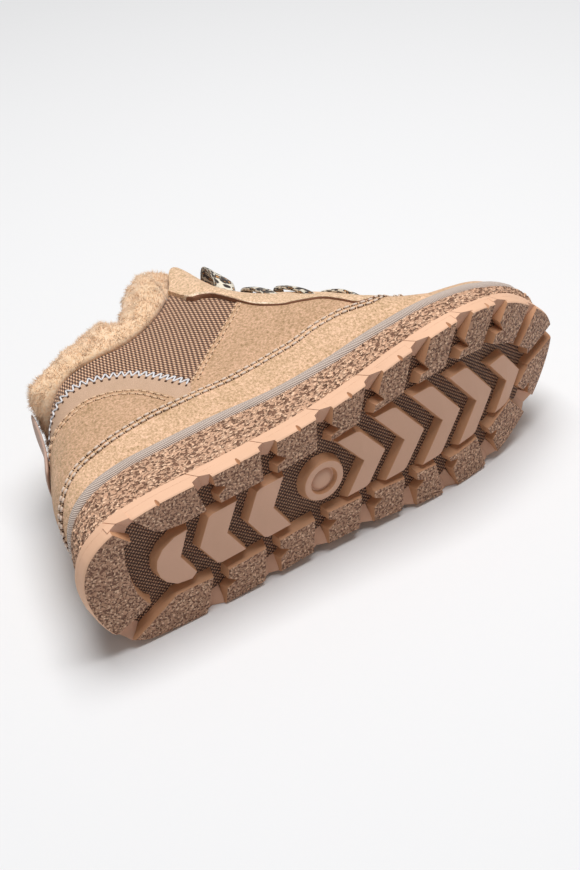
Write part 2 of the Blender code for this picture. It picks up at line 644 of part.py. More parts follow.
def make_tongue(parts):
    """The padded tongue under the facings, curved across the instep, standing above the laces."""
    sections = np.array([12.4, 11.5, 10.6, 9.7, 8.9, 8.2])
    narrowing = np.array([1.0, 1.0, 1.0, 0.96, 0.88, 0.80, 0.78])
    clear = -(WALL + 1.5)
    rows = []
    for at in sections:
        lateral = [upper_point(at, v, clear) for v in (0.88, 1.0)]
        medial = [upper_point(AROUND - at, v, clear) for v in (1.0, 0.88)]
        crown = (lateral[1] + medial[0]) / 2 + np.array([0.0, 0.0, 1.5])
        rows.append([*lateral, crown, *medial])
    rows = np.array(rows)
    rise = rows[-1, 2] - rows[-2, 2]
    top = rows[-1] + rise / np.linalg.norm(rise) * TONGUE_STAND
    rows = np.concatenate([rows, top[None]])
    rows[..., 1] *= narrowing[:, None]
    faces = loft_faces(len(rows), 5, closed=False)
    sheet = make_mesh("tongue", rows.reshape(-1, 3), faces, parts, SUEDE, closed=False)
    thicken(sheet, TONGUE_THICKNESS, outwards=False)
    return rows


def make_tongue_fleece(parts, tongue):
    """The fleece lining of the tongue's upper half, which bulges over its top edge."""
    row = tongue[-1]
    along = tongue[-1, 2] - tongue[-2, 2]
    along /= np.linalg.norm(along)
    back = np.array([-along[2], 0.0, along[0]]) * math.copysign(1.0, along[2])
    profile = np.array(
        [(6.0, -33.0), (6.0, -11.0), (6.0, 1.0), (0.0, 3.0), (-4.0, 7.0), (-1.0, 12.5), (7.0, 14.0),
         (14.0, 6.0), (13.5, -5.0), (12.0, -20.0), (9.5, -33.0)]
    )
    # across the tongue: distance from its middle, then the lowest and highest fleece along the tongue
    ears = ((15.0, -33.0, 12.5), (19.5, 1.5, 12.0), (24.0, -1.0, 9.0), (27.5, -1.0, 5.0))
    across = [(-y, *rises) for y, *rises in ears[::-1]] + [(0.0, -33.0, 12.5)] + [*ears]
    loops = []
    for y, lowest, highest in across:
        spine = np.array([np.interp(y, row[1:4, 1], row[1:4, axis]) for axis in range(3)])
        spine[1] = y
        share = (profile[:, 1] - profile[0, 1]) / np.ptp(profile[:, 1])
        rises = lowest + share * (highest - lowest)
        loops += [spine + back * depth + along * rise for depth, rise in zip(profile[:, 0], rises)]
    count = len(profile)
    faces = loft_faces(len(across), count)
    faces += [tuple(range(count))[::-1], tuple(range(len(loops) - count, len(loops)))]
    fleece = make_mesh("tongue_fleece", np.array(loops), faces, parts, FUR, 0.95)
    return draw_locks(fleece, crown_faces(len(across) - 1, count, range(3, 8)), 4.5)


def make_laces(parts):
    """Flat lace bars across the throat, each ending over its eyelets in the facings."""
    places = ((8.72, 0.17, 7.0), (9.42, 0.21, 6.0), (10.2, 0.25, 5.0), (11.25, 0.29, 3.5))
    for number, (at, half, arch) in enumerate(places, start=1):
        rows = []
        for hold in (at + half, at - half):
            side, lip = (upper_point(hold, v, lift) for v, lift in ((0.92, 3.1), (1.0, 3.7)))
            far_lip, far = (upper_point(AROUND - hold, v, lift) for v, lift in ((1.0, 3.7), (0.92, 3.1)))
            crown = (lip + far_lip) / 2 + np.array([0.0, 0.0, arch])
            shoulder = np.array([0.0, 0.0, arch * 0.3])
            near, beyond = lip * 0.6 + crown * 0.4 + shoulder, far_lip * 0.6 + crown * 0.4 + shoulder
            rows.append([side, lip, near, crown, beyond, far_lip, far])
        faces = loft_faces(2, 7, closed=False)
        points = np.array(rows).reshape(-1, 3)
        name = f"lace_bar_{number}"
        thicken(make_mesh(name, points, faces, parts, (0.4, 0.3, 0.2), closed=False), 1.3)


def fresh_collection(name, hidden=False):
    collection = bpy.data.collections.new(name)
    collection.hide_render = hidden
    bpy.context.scene.collection.children.link(collection)
    return collection


def lay_down(parts):
    """Parents every piece to the shoe's frame, lays that on its medial side and centres it on the origin."""
    frame = bpy.data.objects.new("shoe_frame", None)
    bpy.context.scene.collection.objects.link(frame)
    for piece in parts.objects:
        piece.parent = frame
    turn = Matrix.Rotation(LAY_YAW, 4, "Y") @ Matrix.Rotation(LAY_ROLL, 4, "X")
    frame.matrix_world = turn
    bpy.context.view_layer.update()
    graph = bpy.context.evaluated_depsgraph_get()
    corners = []
    for piece in parts.objects:
        mesh = bpy.data.meshes.new_from_object(piece.evaluated_get(graph))
        corners += [turn @ vertex.co for vertex in mesh.vertices]
    corners = np.array(corners)
    low, high = corners.min(axis=0), corners.max(axis=0)
    middle = (low + high) / 2
    frame.matrix_world = Matrix.Translation((-middle[0], -middle[1], -low[2])) @ turn


def main():
    for old in list(bpy.data.objects):
        bpy.data.objects.remove(old)
    parts = fresh_collection("sneaker")
    cutters = fresh_collection("cutters", hidden=True)
    make_outsole(parts, cutters)
    make_midsole(parts)
    make_piping(parts)
    make_insole(parts)
    make_upper(parts)
    make_panels(parts)
    make_heel_tab(parts)
    make_tongue_fleece(parts, make_tongue(parts))
    make_laces(parts)
    make_fur_collar(parts)
    lay_down(parts)


main()
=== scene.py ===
"""Looks of a fur-lined winter sneaker that lies on its side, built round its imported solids."""
import math
from collections import namedtuple
from functools import partial

import bmesh
import bpy
import numpy as np
from bpy.props import FloatProperty, FloatVectorProperty, IntProperty, PointerProperty
from mathutils import Euler, Matrix, Vector, kdtree, noise


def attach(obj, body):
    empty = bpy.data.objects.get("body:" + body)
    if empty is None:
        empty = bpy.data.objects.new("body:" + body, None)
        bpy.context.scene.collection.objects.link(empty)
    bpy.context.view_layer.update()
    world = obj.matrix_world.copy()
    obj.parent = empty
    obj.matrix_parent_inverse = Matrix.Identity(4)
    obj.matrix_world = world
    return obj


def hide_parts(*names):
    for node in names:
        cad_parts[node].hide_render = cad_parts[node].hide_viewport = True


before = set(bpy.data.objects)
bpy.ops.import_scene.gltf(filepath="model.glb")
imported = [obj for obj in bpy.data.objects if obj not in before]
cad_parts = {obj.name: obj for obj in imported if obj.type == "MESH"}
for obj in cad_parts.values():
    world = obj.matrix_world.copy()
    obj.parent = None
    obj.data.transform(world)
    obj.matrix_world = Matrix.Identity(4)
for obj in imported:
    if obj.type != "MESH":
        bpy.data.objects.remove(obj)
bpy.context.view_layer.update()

bl_info = {
    "name": "Winter Sneaker",
    "version": (1, 0, 0),
    "blender": (4, 5, 0),
    "location": "3D View > Sidebar > Sneaker",
    "description": "Builds the sole, upper, fleece and laces of a winter sneaker on its packed solids",
    "category": "Object",
}

# ---------------------------------------------------------------- the shoe's own frame, in millimetres

MM = 0.001
LENGTH = 254.0          # outsole, heel to toe
BALL_WIDTH = 90.0       # outsole, at the ball of the foot
INSTEP_HEIGHT = 150.0   # ground to the top corner of the lace facings
HEEL_HEIGHT = 99.0      # ground to the collar's edge at the back
WALL = 2.6              # upper: mesh or leather with its fleece backing
GAP = 0.35
UPPER_INSET = 9.4       # outsole edge to the upper's outer face at its foot
LUG_HEIGHT = 5.0
PLATE_TOP = 8.0         # outsole's side band, before its toe is bent up
CHEVRON_DROP = 0.5      # chevrons stand lower than the lugs
CHEVRON_TRIM = 0.4      # how much smaller they are all round than in the solids
PIPING_RADIUS = 2.9
PIPING_INSET = 1.6
TOE_BULGE = 3.2
TOE_SPRING_START = 157.0
TOE_SPRING_RATE = 0.00207
HEEL_BEVEL_END = 22.0
HEEL_BEVEL_RATE = 0.005
HEEL_RAKE = 0.29
HEEL_RAKE_END = 45.0
LAY_ROLL = math.radians(-89.65)
LAY_YAW = math.radians(-3.94)

# One row for each section round the shoe, heel centre first and toe centre last, as in the solids.
Section = namedtuple(
    "Section",
    "along lateral medial band seat rim_along rim_out rim_up "
    "side_in side_up side_swell shoulder_in shoulder_up shoulder_swell",
)
SECTIONS = [
    Section(*row)
    for row in (
        (0.000, 0.056, -0.056, 9.0, 25.0, 0.135, 0.000, 0.660, 0.10, 0.29, 2.8, 0.58, 0.70, 0.6),
        (0.018, 0.239, 0.176, 9.0, 25.2, 0.142, 0.162, 0.667, 0.12, 0.29, 2.8, 0.58, 0.70, 0.6),
        (0.067, 0.344, 0.336, 8.6, 26.5, 0.165, 0.262, 0.680, 0.15, 0.29, 2.9, 0.60, 0.69, 0.6),
        (0.142, 0.378, 0.381, 8.2, 28.6, 0.202, 0.309, 0.703, 0.20, 0.28, 3.1, 0.62, 0.68, 0.6),
        (0.236, 0.376, 0.398, 8.0, 29.4, 0.256, 0.322, 0.713, 0.33, 0.27, 3.3, 0.67, 0.66, 0.6),
        (0.335, 0.376, 0.394, 8.0, 28.6, 0.323, 0.317, 0.723, 0.33, 0.26, 3.3, 0.67, 0.64, 0.9),
        (0.433, 0.387, 0.389, 8.0, 25.6, 0.394, 0.311, 0.773, 0.25, 0.25, 3.5, 0.60, 0.62, 1.4),
        (0.528, 0.426, 0.411, 8.0, 23.3, 0.461, 0.296, 0.873, 0.22, 0.25, 4.1, 0.58, 0.64, 3.6),
        (0.622, 0.481, 0.459, 8.0, 21.8, 0.510, 0.275, 0.985, 0.20, 0.24, 5.1, 0.58, 0.60, 4.2),
        (0.709, 0.507, 0.494, 8.6, 21.0, 0.555, 0.211, 0.807, 0.15, 0.21, 5.1, 0.54, 0.61, 4.8),
        (0.795, 0.478, 0.492, 11.0, 22.4, 0.610, 0.183, 0.690, 0.13, 0.20, 5.0, 0.47, 0.51, 4.6),
        (0.872, 0.383, 0.420, 17.0, 27.6, 0.661, 0.155, 0.610, 0.12, 0.18, 4.5, 0.47, 0.48, 4.8),
        (0.939, 0.233, 0.298, 25.0, 33.2, 0.705, 0.117, 0.534, 0.08, 0.20, 3.3, 0.45, 0.49, 4.6),
        (0.984, 0.090, 0.156, 29.5, 36.0, 0.730, 0.062, 0.505, 0.05, 0.21, 2.3, 0.42, 0.50, 2.6),
        (0.998, -0.039, 0.039, 30.8, 37.0, 0.738, 0.000, 0.496, 0.04, 0.21, 1.8, 0.42, 0.54, 0.6),
    )
]
TOE = len(SECTIONS) - 1
AROUND = 2 * TOE
BAND, SEAT = 0, 1


def lay_of_the_shoe():
    """The matrix from the shoe's own frame to the row frame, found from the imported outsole."""
    turn = Matrix.Rotation(LAY_YAW, 4, "Y") @ Matrix.Rotation(LAY_ROLL, 4, "X")
    sole = np.array([vertex.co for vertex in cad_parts["outsole"].data.vertices])
    sole = sole @ np.array(turn.to_3x3().inverted()).T
    heel = sole[sole[:, 0] < sole[:, 0].min() + 0.01 * MM]
    heel_y = -SECTIONS[0].lateral * BALL_WIDTH * MM
    offset = Vector((heel[0, 0], heel[:, 1].mean() - heel_y, sole[:, 2].min()))
    return turn @ Matrix.Translation(offset) @ Matrix.Scale(MM, 4)


LAY = lay_of_the_shoe()


def spring(x):
    """How far the tread rises from the ground: toe spring, and the bevel at the back of the heel."""
    toe = TOE_SPRING_RATE * np.clip(x - TOE_SPRING_START, 0, None) ** 2
    return toe + HEEL_BEVEL_RATE * np.clip(HEEL_BEVEL_END - x, 0, None) ** 2


def cubic(before, here, after, beyond, t):
    """The smooth curve from one value to the next, given the values on both sides of them."""
    bend = 2 * before - 5 * here + 4 * after - beyond
    twist = -before + 3 * here - 3 * after + beyond
    return 0.5 * (2 * here + (after - before) * t + bend * t**2 + twist * t**3)


def spline(values, at, closed=True):
    """Reads a smooth curve through equally spaced values, one row for each knot."""
    values = np.asarray(values, float)
    at = np.asarray(at, float)
    last = len(values) - 1
    knot = np.floor(at).astype(int) if closed else np.clip(np.floor(at).astype(int), 0, last - 1)
    t = (at - knot).reshape(at.shape + (1,) * (values.ndim - 1))
    places = [knot + step for step in (-1, 0, 1, 2)]
    picks = [place % len(values) if closed else np.clip(place, 0, last) for place in places]
    return cubic(*(values[pick] for pick in picks), t)


def columns(table):
    return [np.array(column) for column in zip(*table)]


def run_along(points):
    """The distances of a line's points from its first, along the line."""
    return np.concatenate([[0], np.cumsum(np.linalg.norm(np.diff(points, axis=0), axis=1))])


def noise_at(*axes):
    """Smooth noise, about -1 to 1, at lists of places; an axis may be one number for them all."""
    return np.array([noise.noise(Vector(place)) for place in zip(*np.broadcast_arrays(*axes))])


def tree_of(points):
    """A tree that finds the nearest of many points."""
    tree = kdtree.KDTree(len(points))
    for number, point in enumerate(points):
        tree.insert(point, number)
    tree.balance()
    return tree


def both_sides(read):
    """One value for every section of a full turn: lateral sections, then the medial ones back."""
    lateral = [read(section, -1) for section in SECTIONS]
    medial = [read(section, 1) for section in SECTIONS[TOE - 1 : 0 : -1]]
    return np.array(lateral + medial, float)


def edge_point(section, side):
    """Where the outsole's edge lies in plan."""
    out = section.lateral if side < 0 else section.medial
    return section.along * LENGTH, side * out * BALL_WIDTH


def rim_point(section, side):
    """Where the upper ends: at the collar behind, and at the throat in front."""
    heel_share = (INSTEP_HEIGHT * 0.66 - HEEL_HEIGHT) * max(0.0, 1 - section.rim_along / 0.3)
    height = section.rim_up * INSTEP_HEIGHT - heel_share
    return section.rim_along * LENGTH, side * section.rim_out * BALL_WIDTH, height


EDGE = both_sides(edge_point)
RIM = both_sides(rim_point)
HEIGHTS = both_sides(lambda section, _side: (section.band, section.seat))


def outline(at, inset=0.0, height=PLATE_TOP):
    """The outsole's edge in plan, moved inwards by the inset; above the outsole the heel leans forward."""
    step = 0.05
    along = spline(EDGE, at + step) - spline(EDGE, at - step)
    along /= np.linalg.norm(along, axis=-1, keepdims=True)
    inwards = np.stack([-along[..., 1], along[..., 0]], axis=-1)
    place = spline(EDGE, at) + np.asarray(inset)[..., None] * inwards
    fade = np.clip(1 - place[..., 0] / HEEL_RAKE_END, 0, 1)
    place[..., 0] += HEEL_RAKE * fade * np.clip(height - PLATE_TOP, 0, None)
    return place


LEVEL_PLACES = np.linspace(0, TOE, 40 * TOE + 1)
LEVEL_X = spline(EDGE, LEVEL_PLACES)[:, 0]
LEVEL_HEIGHTS = spline(HEIGHTS, LEVEL_PLACES)


def level(x, column):
    """Height of the outsole's band (BAND) or of the midsole's top (SEAT) at a place along the sole."""
    return np.interp(x, LEVEL_X, LEVEL_HEIGHTS[:, column])


def loop_at(at, inset, column, above=0.0):
    """A loop round the shoe that follows one of the sole's levels."""
    guess = level(outline(at, inset)[..., 0], column) + above
    plan = outline(at, inset, guess)
    return np.concatenate([plan, (level(plan[..., 0], column) + above)[..., None]], axis=-1)


def section_points():
    """The upper's outer face on every section: foot, side, shoulder and rim."""
    at = np.arange(AROUND, dtype=float)
    foot = loop_at(at, UPPER_INSET, SEAT, GAP)
    outwards = outline(at, -1.0) - outline(at)
    rings = [foot]
    for name in ("side", "shoulder"):
        inwards, rise, swell = (
            both_sides(lambda section, _side, key=key: getattr(section, f"{name}_{key}"))
            for key in ("in", "up", "swell")
        )
        ring = foot + (RIM - foot) * np.column_stack([inwards, inwards, rise])
        ring[:, :2] += outwards * swell[:, None]
        rings.append(ring)
    rings.append(RIM)
    return np.stack(rings, axis=1)


CAGE = section_points()
RING_PLACES = np.array([0.0, 0.28, 0.64, 1.0])


def up_section(rings, v):
    """Reads a smooth curve through a section's four rings; v runs from 0 at its foot to 1 at its rim."""
    place = RING_PLACES
    slopes = np.diff(rings, axis=-2) / np.diff(place)[:, None]
    first = 1.5 * slopes[..., 0, :] - 0.5 * slopes[..., 1, :]
    last = 1.5 * slopes[..., 2, :] - 0.5 * slopes[..., 1, :]
    inner = 0.5 * (slopes[..., :-1, :] + slopes[..., 1:, :])
    tangents = np.concatenate([first[..., None, :], inner, last[..., None, :]], axis=-2)
    span = np.clip(np.searchsorted(place, v, side="right") - 1, 0, 2)
    width = place[span + 1] - place[span]
    t = ((v - place[span]) / width)[..., None]
    width = width[..., None]
    pick = np.arange(len(v))
    start, end = rings[pick, span], rings[pick, span + 1]
    leave, arrive = tangents[pick, span] * width, tangents[pick, span + 1] * width
    rise = end - start
    return start + leave * t + (3 * rise - 2 * leave - arrive) * t**2 + (leave + arrive - 2 * rise) * t**3


# How far the laced instep is drawn in, and the toe cap stands full, in millimetres: a row for every
# half section from the first, a column for every fifth of the height.
DRAWN_FIRST = 7.5
DRAWN = np.array([
    (0, 0.0, 0.0, 0.0, 0.0, 0), (0, 0.0, 0.0, -2.5, -4.5, 0), (0, 0.0, 0.0, -3.0, -8.0, -2),
    (0, 0.0, -0.5, -3.0, -5.5, 0), (0, -1.0, -3.5, -4.0, -3.5, 2), (0, -1.5, -5.0, -5.0, -2.5, 4),
    (0, -1.5, -5.0, -6.0, -2.0, 5), (0, 0.0, -2.0, -4.0, 0.0, 6), (0, 3.0, 1.0, -2.0, 0.0, 6),
    (0, 4.0, 4.0, 1.0, 0.0, 4), (0, 4.0, 4.0, 1.0, 0.0, 2), (0, 3.5, 3.0, 0.5, 0.0, 1),
    (0, 3.0, 2.0, 0.5, 0.0, 0), (0, 3.0, 2.0, 0.5, 0.0, 0),
])


def drawn_in(at, v):
    """How far the visible upper stands out from the plain form at flat lists of places."""
    place = np.clip((from_heel(at) - DRAWN_FIRST) / 0.5, 0, len(DRAWN) - 1)
    rows = spline(DRAWN, place, closed=False)
    step = DRAWN.shape[1] - 1
    place = np.clip(v, 0, 1) * step
    knot = np.clip(np.floor(place).astype(int), 0, step - 1)
    pick = np.arange(len(rows))
    near = (rows[pick, np.clip(knot + shift, 0, step)] for shift in (-1, 0, 1, 2))
    return cubic(*near, place - knot)


def upper_point(at, v, offset=0.0):
    """A point of the upper's outer face, moved outwards by the offset."""
    at, v = np.broadcast_arrays(np.asarray(at, float), np.asarray(v, float))
    shape = at.shape
    at, v = at.ravel(), v.ravel()
    point = up_section(spline(CAGE, at), v)
    offset = np.broadcast_to(offset, shape).ravel() + drawn_in(at, v)
    if np.any(offset):
        point = point + upper_normal(at, v) * offset[:, None]
    return point.reshape(shape + (3,))


def upper_normal(at, v):
    """The direction straight out of the upper at flat lists of places."""
    step = 0.02
    round_the_shoe = up_section(spline(CAGE, at + step), v) - up_section(spline(CAGE, at - step), v)
    rings = spline(CAGE, at)
    upwards = up_section(rings, np.clip(v + step, 0, 1)) - up_section(rings, np.clip(v - step, 0, 1))
    normal = np.cross(round_the_shoe, upwards)
    return normal / np.linalg.norm(normal, axis=1, keepdims=True)


# Panel edges on the upper, as (section, v) pairs; the medial side mirrors the lateral one.
SEAM = ((0, 0.20), (1, 0.24), (2, 0.29), (3, 0.31), (4, 0.335), (5, 0.34), (6, 0.335), (7, 0.295),
        (8, 0.265), (9, 0.31), (10, 0.50), (11, 0.69), (12, 0.81), (13, 0.85), (14, 0.86))
COUNTER_TOP = ((0, 0.60), (0.6, 0.64), (1.32, 0.68), (2.1, 0.68), (2.64, 0.675), (3.28, 0.672),
               (3.88, 0.63), (4.34, 0.545), (4.58, 0.445), (4.72, 0.34))
STRIP_TOP = ((0, 0.73), (1, 0.79), (1.66, 0.845), (2.28, 0.855), (3.12, 0.835), (3.72, 0.80), (4.24, 0.745),
             (4.62, 0.68), (4.96, 0.56), (5.18, 0.42), (5.3, 0.36))
QUARTER_REAR = ((5.05, 0.36), (5.22, 0.435), (5.4, 0.475), (5.66, 0.53), (6.08, 0.585), (6.5, 0.595),
                (6.92, 0.60), (7.44, 0.625))
FACING_EDGE = ((6.95, 0.87), (7.0, 0.83), (7.18, 0.795), (7.36, 0.74), (7.42, 0.68), (7.46, 0.61),
               (7.5, 0.55), (7.6, 0.505), (7.74, 0.465), (7.86, 0.435), (8.1, 0.415), (8.26, 0.405),
               (8.44, 0.405), (8.54, 0.385), (8.6, 0.33), (8.66, 0.27))
QUARTER_FRONT = 8.9     # the section where the side panels run out under the vamp


def from_heel(at):
    """Sections counted from the heel's, the same on both sides."""
    at = np.abs(np.asarray(at, float))
    return np.minimum(at, AROUND - at)


def edge_height(edge, at, soft=0.16):
    """The height v of a panel edge at the section, the same on both sides and rounded at its corners."""
    places, heights = columns(edge)
    near = from_heel(at)
    reads = [np.interp(near + shift * soft, places, heights) for shift in (-1.0, -0.5, 0.0, 0.5, 1.0)]
    ends = np.clip(np.minimum(near - places[0], places[-1] - near) / soft, 0, 1)
    return reads[2] * (1 - ends) + sum(reads) / 5 * ends


def facing_foot(at):
    """Lower edge of the lace facing: its own edge behind, and the vamp's seam in front."""
    seam, own = edge_height(SEAM, at), edge_height(FACING_EDGE, at, 0.03)
    return np.where(from_heel(at) < FACING_EDGE[-1][0], np.maximum(own, seam - 0.01), seam - 0.01)


# ---------------------------------------------------------------- making meshes


def formed(across, up, place, closed=False):
    """A grid whose corners a function puts in place, with its second map; closed joins its two sides.

    place(u, v) gets flat lists from 0 to 1 and returns points and map coordinates, both in millimetres.
    """
    body = bmesh.new()
    bmesh.ops.create_grid(body, x_segments=across, y_segments=up, size=0.5)
    corners = np.array([vertex.co for vertex in body.verts])
    points, maps = place(corners[:, 0] + 0.5, corners[:, 1] + 0.5)
    for vertex, point in zip(body.verts, points):
        vertex.co = point
    body.verts.index_update()
    layer = body.loops.layers.uv.new("cloth")
    for face in body.faces:
        for corner in face.loops:
            corner[layer].uv = maps[corner.vert.index]
    if closed:
        bmesh.ops.remove_doubles(body, verts=body.verts, dist=0.001)
    return body


def as_mesh(name, body):
    """Turns a body into a mesh and frees it."""
    mesh = bpy.data.meshes.new(name)
    body.to_mesh(mesh)
    body.free()
    return mesh


def in_scene(name, data):
    """Puts a new object into the scene."""
    made = bpy.data.objects.new(name, data)
    bpy.context.scene.collection.objects.link(made)
    return made


def evaluated(source, *spare):
    """The body that an object's modifiers give; the object and the spare ones go."""
    body = bmesh.new()
    body.from_object(source, bpy.context.evaluated_depsgraph_get())
    for each in (source, *spare):
        bpy.data.meshes.remove(each.data)
    return body


def no_map(points):
    return np.zeros((len(points), 2))


def capped(body):
    """Closes the open ends of a tube."""
    rims = [edge for edge in body.edges if edge.is_boundary]
    bmesh.ops.holes_fill(body, edges=rims, sides=0)
    bmesh.ops.recalc_face_normals(body, faces=body.faces)
    return body


def tower(loops):
    """A closed solid from level loops round the shoe, lowest first."""
    loops = np.asarray(loops)
    levels, count = loops.shape[:2]

    def place(u, v):
        points = loops[np.rint(v * (levels - 1)).astype(int), np.rint(u * count).astype(int) % count]
        return points, no_map(points)

    return capped(formed(count, levels - 1, place, closed=True))


def with_height(plan, height):
    return np.column_stack([plan, np.broadcast_to(height, len(plan))])


def grown(corners, distance):
    """A plan moved outwards all along its edges, whichever way round it runs."""
    corners = np.asarray(corners, float)
    ahead = np.roll(corners, -1, axis=0) - corners
    area = np.sum(corners[:, 0] * np.roll(corners[:, 1], -1) - np.roll(corners[:, 0], -1) * corners[:, 1])
    ahead /= np.linalg.norm(ahead, axis=1, keepdims=True)
    normal = np.column_stack([ahead[:, 1], -ahead[:, 0]]) * math.copysign(1.0, area)
    before = np.roll(normal, 1, axis=0)
    share = 1 + np.sum(normal * before, axis=1, keepdims=True)
    return corners + distance * (normal + before) / np.maximum(share, 0.35)


def add_prism(body, corners, bottom, top, top_grow=0.0, drift=(0.0, 0.0)):
    """Adds an upright prism from its plan; its top may be larger all round and moved over."""
    corners = np.asarray(corners, float)
    over = grown(corners, top_grow) + drift
    made = bmesh.ops.create_circle(body, cap_ends=True, segments=len(corners), radius=1.0)["verts"]
    for vertex, corner in zip(made, corners):
        vertex.co = (*corner, bottom)
    foot = next(face for face in made[0].link_faces if len(face.verts) == len(corners))
    lifted = bmesh.ops.extrude_face_region(body, geom=[foot], use_keep_orig=True)["geom"]
    for vertex in lifted:
        if isinstance(vertex, bmesh.types.BMVert):
            nearest = np.argmin(np.linalg.norm(corners - vertex.co.xy, axis=1))
            vertex.co = (*over[nearest], top)
    return body


def carved(body, cutter):
    """Cuts one solid out of another, as the Boolean modifier does."""
    bmesh.ops.recalc_face_normals(cutter, faces=cutter.faces)
    kept, spare = (in_scene("solid", as_mesh("solid", solid)) for solid in (body, cutter))
    step = kept.modifiers.new("cut", "BOOLEAN")
    step.operation, step.solver, step.object = "DIFFERENCE", "EXACT", spare
    step.use_self = True
    return evaluated(kept, spare)


def rounded(body, edges, width, segments=2):
    """Bevels edges to a round."""
    bmesh.ops.bevel(
        body, geom=edges, offset=width, offset_type="OFFSET", segments=segments, profile=0.5,
        affect="EDGES", clamp_overlap=True, material=-1,
    )
    return body


def joined(first, second):
    """Adds the second mesh to the first as it is."""
    mesh = as_mesh("joined", second)
    first.from_mesh(mesh)
    bpy.data.meshes.remove(mesh)
    return first


def laid(name, mesh, finishes, node, crease=40.0):
    """Lays a mesh in the shoe's millimetres down as a piece that stands for a CAD node."""
    old = bpy.data.objects.get(name)
    if old:
        bpy.data.objects.remove(old)
    mesh.name = name
    mesh.transform(LAY)
    for finish in finishes:
        mesh.materials.append(finish)
    mesh.shade_smooth()
    mesh.set_sharp_from_angle(angle=math.radians(crease))
    piece = in_scene(name, mesh)
    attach(piece, "root")
    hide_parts(node)
    return piece


def laid_body(name, body, finishes, node, crease=40.0):
    return laid(name, as_mesh(name, body), finishes, node, crease)


def copies(shape, points, node, name, finishes, marks=()):
    """A piece made of many copies of one small shape, given every copy's corner points in place.

    marks names values for each copy's corners that a material reads.
    """
    count, corners = points.shape[:2]
    faces = np.array([[vertex.index for vertex in face.verts] for face in shape.faces])
    slots = np.array([face.material_index for face in shape.faces])
    shape.free()
    every = (faces[None] + np.arange(count)[:, None, None] * corners).reshape(-1, faces.shape[1])
    mesh = bpy.data.meshes.new(name)
    mesh.from_pydata(points.reshape(-1, 3), [], every.tolist())
    mesh.polygons.foreach_set("material_index", np.tile(slots, count))
    for mark, values in dict(marks).items():
        layer = mesh.attributes.new(mark, "FLOAT", "POINT")
        layer.data.foreach_set("value", np.asarray(values, np.float32).ravel())
    return laid(name, mesh, finishes, node, 180.0)


def softened(node, levels):
    """A smoother copy of a CAD node's mesh, back in the shoe's millimetres."""
    body = bmesh.new()
    body.from_mesh(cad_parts[node].data)
    body.transform(LAY.inverted())
    bmesh.ops.remove_doubles(body, verts=body.verts, dist=0.01)
    bmesh.ops.join_triangles(
        body, faces=body.faces, angle_face_threshold=0.6, angle_shape_threshold=0.9,
    )
    bmesh.ops.recalc_face_normals(body, faces=body.faces)
    holder = in_scene("holder", as_mesh("holder", body))
    smooth = holder.modifiers.new("smooth", "SUBSURF")
    smooth.levels = smooth.render_levels = levels
    return evaluated(holder)


# ---------------------------------------------------------------- finishes


def srgb(*values):
    """A colour as a paint chart gives it, red, green and blue from 0 to 255, for a shader."""
    return tuple(((c / 255 + 0.055) / 1.055) ** 2.4 if c > 10 else c / 255 / 12.92 for c in values)


def put(tree, kind, inputs=(), **settings):
    """Adds a node to a tree; each input takes a plain value or another node's output."""
    made = tree.nodes.new("ShaderNode" + kind)
    made.location = (190 * (len(tree.nodes) % 12), -260 * (len(tree.nodes) // 12))
    for name, value in settings.items():
        setattr(made, name, value)
    for name, value in dict(inputs).items():
        if isinstance(value, bpy.types.NodeSocket):
            tree.links.new(value, made.inputs[name])
        else:
            made.inputs[name].default_value = value
    return made


def sums(tree, operation, *values):
    return put(tree, "Math", dict(enumerate(values)), operation=operation).outputs[0]


def plus(tree, first, second):
    return sums(tree, "ADD", first, second)


def minus(tree, first, second):
    return sums(tree, "SUBTRACT", first, second)


def times(tree, first, second):
    return sums(tree, "MULTIPLY", first, second)


def ratio(tree, first, second):
    return sums(tree, "DIVIDE", first, second)


def vector_sums(tree, operation, *values):
    return put(tree, "VectorMath", dict(enumerate(values)), operation=operation).outputs[0]


def ramp(tree, value, low, high, first=0.0, last=1.0):
    """A value carried smoothly from first at low to last at high."""
    inputs = {"Value": value, "From Min": low, "From Max": high, "To Min": first, "To Max": last}
    return put(tree, "MapRange", inputs, interpolation_type="SMOOTHSTEP").outputs[0]


def blend(tree, share, first, second, way="MIX"):
    mixed = put(tree, "Mix", {0: share, 6: first, 7: second}, data_type="RGBA", blend_type=way)
    return mixed.outputs[2]


def full(colour):
    return (*colour, 1.0)


def effect(name, inputs, outputs, build):
    """A node group with named inputs and outputs; build(tree, into) gives the outputs' sockets."""
    tree = bpy.data.node_groups.new(name, "ShaderNodeTree")
    kinds = {float: "NodeSocketFloat", tuple: "NodeSocketColor", None: "NodeSocketVector"}
    for label, value in inputs.items():
        kind = kinds[None if value is None else type(value)]
        socket = tree.interface.new_socket(name=label, in_out="INPUT", socket_type=kind)
        if value is not None:
            socket.default_value = value
    for label in outputs:
        kind = "NodeSocketColor" if label == "Colour" else "NodeSocketFloat"
        tree.interface.new_socket(name=label, in_out="OUTPUT", socket_type=kind)
    into = tree.nodes.new("NodeGroupInput")
    into.location = (-220, 0)
    results = build(tree, into.outputs)
    out = tree.nodes.new("NodeGroupOutput")
    out.location = (190 * 12, 0)
    for label, socket in zip(outputs, results):
        tree.links.new(socket, out.inputs[label])
    return tree


def speckle(tree, place, scale, detail=2.0, rough=0.55, warp=0.0):
    inputs = {"Vector": place, "Scale": scale, "Detail": detail, "Roughness": rough, "Distortion": warp}
    return put(tree, "TexNoise", inputs).outputs["Fac"]


